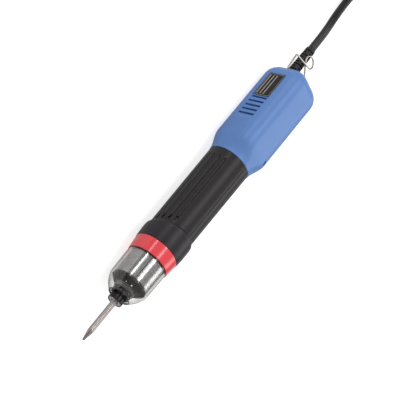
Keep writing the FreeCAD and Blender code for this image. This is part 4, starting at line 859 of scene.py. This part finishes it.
# %% Turn the red ring and the clear cover
ring_profile = [(150.72, 17.1), (150.72, 19.5, 0.45), (162.8, 18.35, 0.5), (162.8, 17.1)]
lathe("ring_band", soften(ring_profile, 0.15), "ring", "ring_red", ["lock_ring"])
cover_profile = [
    (155.22, 15.9, 0.2), (155.22, 17.0, 0.3), (162.82, 17.0, 0.1), (162.82, 17.9, 0.3), (188.2, 17.4, 1.6),
    (194.6, 14.2, 2.5), (200.0, 9.6, 0.5), (200.0, 8.7, 0.3), (198.8, 8.7, 0.3), (193.9, 12.75, 2.0),
    (187.6, 15.9, 1.2), (170.8, 15.9, 1.5), (169.0, 15.9, 0.0)]
lathe("cover_shell", soften(cover_profile), "cover", "clear_plastic", ["clear_cover"])

# %% [markdown]
# ## What shows through the cover
# The polished cup has one thin groove cut along it, and a black strip lies in it. The black is a painted
# reflection:
# it draws the dark edge of the room's reflection beside the cup's bright streak, which a groove alone hardly
# shows on bright metal. A turned mesh has points only at its turns, so `fine_turns` puts some exactly on the
# edges of the groove.

# %% The cup, its groove and the painted reflection line
# The line's turn sets the black strip just beside the bright streak of a strip light on the cup, where the
# dark edge of the reflection falls: a painted reflection.
REFLECTION_LINE_TURN = math.radians(39.5)
REFLECTION_LINE_HALF = 0.026
REFLECTION_GROOVE_DEPTH = 0.3
CUP_INSIDE, CUP_RIM = 14.8, 184.5
STRIP_REAR, STRIP_FRONT, STRIP_FLOOR, STRIP_THICK = 152.0, 184.2, 15.01, 0.14
STEP_TURN = 0.0012


def near(turn, centre):
    return abs((turn - centre + math.pi) % (2 * math.pi) - math.pi)


def fine_turns(centres, half, count=96):
    turns = set(even_turns(count))
    for centre in centres:
        turns = {t for t in turns if near(t, centre) > half * 1.3}
        offsets = (-half - STEP_TURN, -half, 0.0, half, half + STEP_TURN)
        turns.update((centre + offset) % (2 * math.pi) for offset in offsets)
    return sorted(turns)


def reflection_line_groove(x, radius, turn):
    if radius > CUP_INSIDE and x < CUP_RIM and near(turn, REFLECTION_LINE_TURN) <= REFLECTION_LINE_HALF + 1e-6:
        return x, radius - REFLECTION_GROOVE_DEPTH
    return x, radius


# A black strip on the groove's floor: a painted reflection, the dark edge of the room's reflection on the
# cup drawn in black.
def painted_reflection_strip():
    bm = bmesh.new()
    arc = [REFLECTION_LINE_TURN + REFLECTION_LINE_HALF * share for share in (-0.98, -0.5, 0.0, 0.5, 0.98)]
    rows = []
    for x, thick in ((STRIP_REAR, 0.0), (STRIP_REAR, STRIP_THICK), (STRIP_FRONT, STRIP_THICK), (STRIP_FRONT, 0.0)):
        top = [around(x, STRIP_FLOOR + thick, t) for t in arc]
        rows.append(top + [around(x, STRIP_FLOOR, t) for t in reversed(arc)])
    skin(bm, rows, closed_rows=False)
    add_piece("painted_reflection_strip", close_mesh("painted_reflection_strip", bm), "cup", "rubber_black", [])


cup_profile = [(149.98, 14.5), (149.98, 15.3), (184.4, 15.3, 0.0), (184.5, 15.3, 0.0), (185.98, 15.3, 0.6),
               (185.98, 9.05), (185.18, 9.05), (185.18, 14.5)]
lathe("torque_cup", soften(cup_profile, 0.2), "cup", "polished_steel", ["spring_cup"],
      fine_turns([REFLECTION_LINE_TURN], REFLECTION_LINE_HALF), reflection_line_groove)
painted_reflection_strip()

# %% [markdown]
# The torque nut in front of the cup is black, with twelve slots across its cone for a pin wrench. Their
# floors are worn to bare steel, which a plain ring just above the slots' own floor gives. Where a turn lies
# in a slot, the nut's profile drops to that floor.

# %% The slotted nut
SLOT_COUNT, SLOT_FLOOR = 12, 10.25
SLOT_HALF = 0.9 / 13.3
CONE_START = 188.21
FLOOR_REAR, FLOOR_FRONT, FLOOR_BORE, FLOOR_RADIUS = 188.4, 190.8, 10.0, 10.42
slot_turns = [2 * math.pi * k / SLOT_COUNT for k in range(SLOT_COUNT)]


def nut_slots(x, radius, turn):
    in_slot = min(near(turn, centre) for centre in slot_turns) <= SLOT_HALF + 1e-6
    if x > CONE_START and radius > SLOT_FLOOR and in_slot:
        return x, SLOT_FLOOR
    return x, radius


nut_profile = [(186.0, 9.05), (186.0, 15.2), (188.2, 15.2, 0.0), (188.22, 15.18, 0.0), (190.8, 11.66, 0.0),
               (191.0, 11.3, 0.0), (191.0, 9.05)]
lathe("slotted_nut", soften(nut_profile, 0.15), "nut", "nut_black", ["torque_nut"],
      fine_turns(slot_turns, SLOT_HALF), nut_slots)
floor_profile = [(FLOOR_REAR, FLOOR_BORE), (FLOOR_REAR, FLOOR_RADIUS), (FLOOR_FRONT, FLOOR_RADIUS),
                 (FLOOR_FRONT, FLOOR_BORE)]
lathe("slot_floor", floor_profile, "nut", "connector_metal")

# %% [markdown]
# The nose tube is cast aluminium with a thread on its front. The thread is a true helix: the radius dips
# with the phase of a wave that moves on by one pitch for every turn, and it fades out at both ends.

# %% The threaded nose
THREAD_START, THREAD_END, PITCH, THREAD_DEPTH = 182.0, 194.2, 2.0, 0.7
NOSE_RADIUS, THREAD_STEP = 9.0, 0.125
FADE_IN, FADE_OUT = 0.6, 0.4


def thread(x, radius, turn):
    if THREAD_START < x < THREAD_END and radius > NOSE_RADIUS - 0.1:
        phase = (x / PITCH - turn / (2 * math.pi)) % 1.0
        fade = min(1.0, (x - THREAD_START) / FADE_IN, (THREAD_END - x) / FADE_OUT)
        return x, radius - THREAD_DEPTH * (1 - abs(2 * phase - 1)) * fade
    return x, radius


thread_steps = int((THREAD_END - THREAD_START) / THREAD_STEP) + 1
nose_profile = [(113.0, 14.88), (113.0, 16.38), (131.0, 16.38), (131.0, NOSE_RADIUS), (160.0, NOSE_RADIUS)]
nose_profile += [(THREAD_START + THREAD_STEP * k, NOSE_RADIUS) for k in range(thread_steps)]
nose_profile += [(194.5, 8.55), (194.5, 7.0), (128.0, 7.0), (128.0, 14.88)]
lathe("threaded_nose", nose_profile, "root", "cast_aluminium", ["nose_housing"], even_turns(72), thread)

# %% [markdown]
# ## Sleeve and bit
# The sleeve is turned with a wider rear flange, which the fingers pull to free the bit.

# %% Turn the sleeve
sleeve_profile = [(196.2, 5.0), (196.2, 8.2, 0.35), (198.8, 8.2, 0.35), (198.8, 6.4, 0.2), (205.6, 6.4, 0.7),
                  (205.6, 5.8, 0.1), (200.0, 5.8, 0.1), (200.0, 5.0, 0.1)]
lathe("sleeve_body", soften(sleeve_profile, 0.2), "sleeve", "sleeve_black", ["bit_sleeve"], even_turns(80))

# %% [markdown]
# The bit is one grid whose radius depends on both the place along it and the turn: a hexagon with its
# retaining groove, a round shank, and a point where four flutes leave a cross. A flute's wall runs parallel
# to its wing, so in polar terms the radius is wing / sin(turn).

# %% Shape the bit
BIT_REAR, HEX_END, POINT_START, BIT_TIP = 181.2, 205.6, 236.6, 246.2
HEX_HALF, HEX_CORNER, HEX_CHAMFER, SHANK, TIP_RADIUS = 3.175, 3.66, 3.2, 2.5, 0.85
NOTCH_REAR, NOTCH_FRONT, NOTCH_RADIUS = 195.2, 199.2, 2.3
CROSS_START, CROSS_LENGTH, CROSS_ROWS = POINT_START - 2.5, 12.1, 26
WING_ROOT, WING_TIP = 1.8, 0.42
BIT_TURNS = 120


def bit_radius(x, turn):
    sixth = math.radians(60)
    hexagon = HEX_HALF / math.cos((turn + sixth / 2) % sixth - sixth / 2)
    if x < HEX_END:
        if NOTCH_REAR <= x <= NOTCH_FRONT:
            return min(hexagon, NOTCH_RADIUS)
        return min(hexagon, HEX_CORNER, HEX_CHAMFER + max(0.0, x - BIT_REAR), SHANK + (HEX_END - x) * 0.97)
    if x <= POINT_START:
        return SHANK
    share = (x - POINT_START) / (BIT_TIP - POINT_START)
    return SHANK + (TIP_RADIUS - SHANK) * share - max(0.0, share - 0.9) * 2.6


def crossed_radius(x, turn):
    radius = bit_radius(x, turn)
    if x > CROSS_START:
        share = (x - CROSS_START) / (BIT_TIP - CROSS_START)
        wing = WING_ROOT * (1 - share) + WING_TIP * share
        quarter = math.radians(90)
        off = abs((turn + quarter / 2) % quarter - quarter / 2)
        radius = min(radius, wing / max(math.sin(off), 0.05))
    return radius


bit_places = [BIT_REAR, BIT_REAR + 0.25, BIT_REAR + 0.5, 188.0, 194.6, 195.19, NOTCH_REAR, 197.2,
              NOTCH_FRONT, 199.21, 199.8, 203.0, 204.4, 204.8, 205.2, 205.59, 205.61, 212.0, 220.0,
              228.0, 233.0]
bit_places += [CROSS_START + CROSS_LENGTH * k / CROSS_ROWS for k in range(CROSS_ROWS + 1)]
bit_rows = [[Vector((BIT_REAR, 0, middle))] * BIT_TURNS]
for x in bit_places:
    bit_rows.append([around(x, crossed_radius(x, turn), turn) for turn in even_turns(BIT_TURNS)])
bit_rows.append([Vector((BIT_TIP, 0, middle))] * BIT_TURNS)
bit_mesh = bmesh.new()
skin(bit_mesh, bit_rows, closed_rows=False)
add_piece("bit_body", close_mesh("bit_body", bit_mesh), "holder", "bit_steel", ["bit"])

# %% [markdown]
# ## Strain relief and bail
# The grooves of the relief are open except at two bridges each, which turn a quarter from groove to groove,
# so the rubber bends every way. They are part of its profile, and a warp fills them again at the bridges.

# %% Mould the relief
RELIEF_BASE, RELIEF_TIP = -47.0, -81.0
RELIEF_BASE_RADIUS, RELIEF_TIP_RADIUS = 4.85, 4.1
RIBS, RIB_PITCH, RIB_START, RIB_EDGE = 11, 2.8, 1.6, 0.12
GROOVE, GROOVE_DEPTH, GROOVE_SIDE = 1.1, 1.3, 0.08
BRIDGE = 0.94
relief_slope = (RELIEF_BASE_RADIUS - RELIEF_TIP_RADIUS) / (RELIEF_BASE - RELIEF_TIP)


def relief_groove(x, radius, turn):
    for k in range(RIBS):
        start = RELIEF_BASE - RIB_START - k * RIB_PITCH
        skin_radius = RELIEF_BASE_RADIUS - relief_slope * (RELIEF_BASE - x)
        if start - GROOVE <= x <= start and radius > skin_radius - GROOVE_DEPTH - 0.01 and radius > 2.0:
            bridge = abs(math.cos(turn + math.radians(45) + k * math.radians(90)))
            if bridge > BRIDGE:
                return x, skin_radius
    return x, radius


relief_profile = [(-37.5, 0.0, 0.0), (-37.5, 6.0, 0.2), (-39.5, 6.0, 0.2), (-39.5, RELIEF_BASE_RADIUS, 0.0),
                  (RELIEF_BASE, RELIEF_BASE_RADIUS, 0.0)]
for k in range(RIBS):
    x = RELIEF_BASE - RIB_START - k * RIB_PITCH
    radius = RELIEF_BASE_RADIUS - relief_slope * (RELIEF_BASE - x)
    floor_radius = radius - GROOVE_DEPTH
    relief_profile += [(x + RIB_EDGE, radius, 0.0), (x, radius - RIB_EDGE, 0.0),
                       (x - GROOVE_SIDE, floor_radius, 0.0), (x + GROOVE_SIDE - GROOVE, floor_radius, 0.0),
                       (x - GROOVE, radius - RIB_EDGE, 0.0), (x - RIB_EDGE - GROOVE, radius, 0.0)]
relief_profile += [(-79.8, 4.12, 0.0), (-80.6, 3.95, 0.0), (RELIEF_TIP, 3.6, 0.0), (RELIEF_TIP, 0.0, 0.0)]
lathe("relief_sleeve", soften(relief_profile), "root", "rubber_black", ["strain_relief"],
      warp=relief_groove, centre=(0.0, middle - RELIEF_DROP))

# %% [markdown]
# The bail is one wire: pin, leg, shoulder, across the relief, once round the eye, and back down to the
# other pin. Where the wire passes itself, one strand lies on the other. A curve with a round bevel is the
# plain way to draw a wire, and its points are worked out flat and then leaned back by the bail's angle.

# %% Places and bends along the wire
BAIL_LEAN = math.radians(10.056)
BAIL_HALF, SHOULDER, WIRE = 17.6, (16.8, -16.4), 0.7
EYE, EYE_RADIUS, EYE_LIFT = (26.6, 2.4), 5.2, 0.8
PIN_END, SHOULDER_BEND, FOOT_BEND = 12.6, 1.6, 1.0
BEND_STEPS, LOOP_STEPS = 8, 40

def bail_place(away, across, lift):
    flat = PIVOT + Vector((-away * math.cos(BAIL_LEAN), across, -away * math.sin(BAIL_LEAN)))
    return flat + Vector((-math.sin(BAIL_LEAN), 0, math.cos(BAIL_LEAN))) * lift


def bent(points, reach):
    line = [points[0]]
    for before, here, after in zip(points, points[1:], points[2:]):
        start = here + (before - here).normalized() * reach
        end = here + (after - here).normalized() * reach
        for k in range(BEND_STEPS + 1):
            t = k / BEND_STEPS
            line.append(start.lerp(here, t).lerp(here.lerp(end, t), t))
    return line + [points[-1]]


def eye_angle(point):
    return math.atan2(point[1] - EYE[1], point[0] - EYE[0])


def tangent_turn(point, sense):
    gap = math.hypot(point[0] - EYE[0], point[1] - EYE[1])
    return eye_angle(point) + sense * math.acos(EYE_RADIUS / gap)


# %% Bend the wire
enter = tangent_turn(SHOULDER, -1)
leave = tangent_turn((0.0, BAIL_HALF), 1)
sweep = (enter - leave) % (2 * math.pi)
loop = []
for k in range(LOOP_STEPS + 1):
    turn = enter - sweep * k / LOOP_STEPS
    lift = EYE_LIFT * (1 - 2 * k / LOOP_STEPS)
    loop.append(bail_place(EYE[0] + EYE_RADIUS * math.cos(turn), EYE[1] + EYE_RADIUS * math.sin(turn), lift))
near_leg = [bail_place(0, -PIN_END, 0), bail_place(0, -BAIL_HALF, 0), bail_place(*SHOULDER, 0), loop[0]]
far_leg = [loop[-1], bail_place(0, BAIL_HALF, 0), bail_place(0, PIN_END, 0)]
wire_points = bent(near_leg, SHOULDER_BEND) + loop[1:] + bent(far_leg, FOOT_BEND)[1:]
wire = bpy.data.curves.new("bail_wire", "CURVE")
wire.dimensions = "3D"
wire.bevel_depth = 1.0
wire.bevel_resolution = 4
wire.use_fill_caps = True
strand = wire.splines.new("POLY")
strand.points.add(len(wire_points) - 1)
for point, place in zip(strand.points, wire_points):
    point.co = (*(place * MM), 1.0)
    point.radius = WIRE * MM
add_piece("bail_wire", wire, "bail", "wire_steel", ["suspension_bail"])

# %% [markdown]
# ## Lay on the looks
# Every piece takes the material of its slot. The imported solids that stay, mostly the works inside, take
# theirs in the same way from the record, so nothing keeps the plain colour it was packed with.

# %% Give every piece its material
slot_of = {part["node"]: part["material_slot"] for part in frame["record"]["subparts"]}
for name, node in frame["nodes"].items():
    for place in node.material_slots:
        place.material = looks[slot_of[name]]
for piece in bpy.context.scene.objects:
    if piece.type in {"MESH", "CURVE"} and "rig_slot" in piece and "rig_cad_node" not in piece:
        piece.data.materials.clear()
        piece.data.materials.append(looks[piece["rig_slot"]])
print("looks in use:", len(set(slot_of.values())))

# %% [markdown]
# ## Studio
# The tool lies on a white sweep. The floor glows white for the camera and for rays that go straight through
# the clear cover. In a reflection it glows only at MIRRORED_FLOOR of that, so the lower side of the metal
# stays darker than the page. To diffuse light it is a plain pale floor, so it keeps a faint shadow under
# the tool.

# %% The floor
MIRRORED_FLOOR = 0.3
FLOOR_TONE, FLOOR_GLOW = (0.6, 0.6, 0.6, 1.0), 0.72


def straight_views(tree):
    ray = tree.nodes.new("ShaderNodeLightPath").outputs
    straight = maths(tree, "LESS_THAN", ray["Glossy Depth"], 0.5)
    through = maths(tree, "MULTIPLY", ray["Is Transmission Ray"], straight)
    return ray, maths(tree, "MAXIMUM", ray["Is Camera Ray"], through)


def white_floor():
    material = bpy.data.materials.new("floor_white")
    material.use_nodes = True
    tree = material.node_tree
    diffuse = tree.nodes["Principled BSDF"]
    diffuse.inputs["Base Color"].default_value = FLOOR_TONE
    diffuse.inputs["Roughness"].default_value = 0.9
    glow = tree.nodes.new("ShaderNodeEmission")
    glow.inputs["Strength"].default_value = FLOOR_GLOW
    add = tree.nodes.new("ShaderNodeAddShader")
    ray, straight = straight_views(tree)
    mirrored = maths(tree, "GREATER_THAN", ray["Glossy Depth"], 0.5)
    seen = maths(tree, "MAXIMUM", straight, maths(tree, "MULTIPLY", mirrored, MIRRORED_FLOOR))
    mix = tree.nodes.new("ShaderNodeMixShader")
    tree.links.new(seen, mix.inputs["Fac"])
    tree.links.new(diffuse.outputs["BSDF"], mix.inputs[1])
    tree.links.new(diffuse.outputs["BSDF"], add.inputs[0])
    tree.links.new(glow.outputs["Emission"], add.inputs[1])
    tree.links.new(add.outputs["Shader"], mix.inputs[2])
    tree.links.new(mix.outputs["Shader"], tree.nodes["Material Output"].inputs["Surface"])
    return material


floor_mesh = bmesh.new()
bmesh.ops.create_grid(floor_mesh, x_segments=8, y_segments=8, size=4.0)
floor_data = bpy.data.meshes.new("floor")
floor_mesh.to_mesh(floor_data)
floor_mesh.free()
floor = bpy.data.objects.new("floor", floor_data)
floor.location.z = -0.0003
bpy.context.scene.collection.objects.link(floor)
floor_data.materials.append(white_floor())


# %% [markdown]
# Three soft strips light the tool, all of them set back toward the cord: one overhead, one on the flank
# that faces the camera and one on the far side. Long strips give turned metal its long bright streaks. Each
# is placed by an angle round the tool's axis, and turned to face it.

# %% The lights
LIGHT_DISTANCE = 1.2
LIGHT_BACK = 0.43
TOOL_MIDDLE = Vector((0.06, 0.0, AXIS_Z))


def strip_light(name, degrees, length, width, power):
    data = bpy.data.lights.new(name, "AREA")
    data.shape = "RECTANGLE"
    data.size, data.size_y = length, width
    data.energy = power
    light = bpy.data.objects.new(name, data)
    turn = math.radians(degrees)
    reach = math.sqrt(1 - LIGHT_BACK ** 2)
    away = Vector((-LIGHT_BACK, -math.sin(turn) * reach, math.cos(turn) * reach))
    along = (Vector((1, 0, 0)) - away * away.x).normalized()
    axes = Matrix((along, away.cross(along), away)).transposed().to_4x4()
    light.matrix_world = Matrix.Translation(TOOL_MIDDLE + away * LIGHT_DISTANCE) @ axes
    bpy.context.scene.collection.objects.link(light)


strip_light("overhead", 16.0, 1.0, 0.24, 3.6)
strip_light("flank", 68.0, 1.0, 0.14, 2.4)
strip_light("far_side", -50.0, 1.0, 0.5, 3.5)
print("strip lights:", len(bpy.data.lights), "at", LIGHT_DISTANCE, "m")

# %% [markdown]
# The world is white to the camera and through the cover. To gloss it is a room that is dark near the
# horizon and white overhead, which draws dark bands on the polished cup, and to diffuse light it is an
# even, soft grey.

# %% The world
ROOM_DARK, ROOM_WHITE = 0.16, 0.5
ROOM_FILL = 0.6
world = bpy.data.worlds.new("studio")
bpy.context.scene.world = world
world.use_nodes = True
sky = world.node_tree
background = sky.nodes["Background"]
ray, straight = straight_views(sky)
split = sky.nodes.new("ShaderNodeSeparateXYZ")
sky.links.new(sky.nodes.new("ShaderNodeTexCoord").outputs["Generated"], split.inputs["Vector"])
dusk = spread(sky, split.outputs["Z"], ROOM_DARK, ROOM_WHITE, 0.0, 1.0)
fill = maths(sky, "MULTIPLY", ray["Is Diffuse Ray"], ROOM_FILL)
level = maths(sky, "MAXIMUM", maths(sky, "MAXIMUM", dusk, fill), straight)
sky.links.new(level, background.inputs["Strength"])
background.inputs["Color"].default_value = (1.0, 1.0, 1.0, 1.0)
bpy.context.scene.view_settings.view_transform = "Standard"
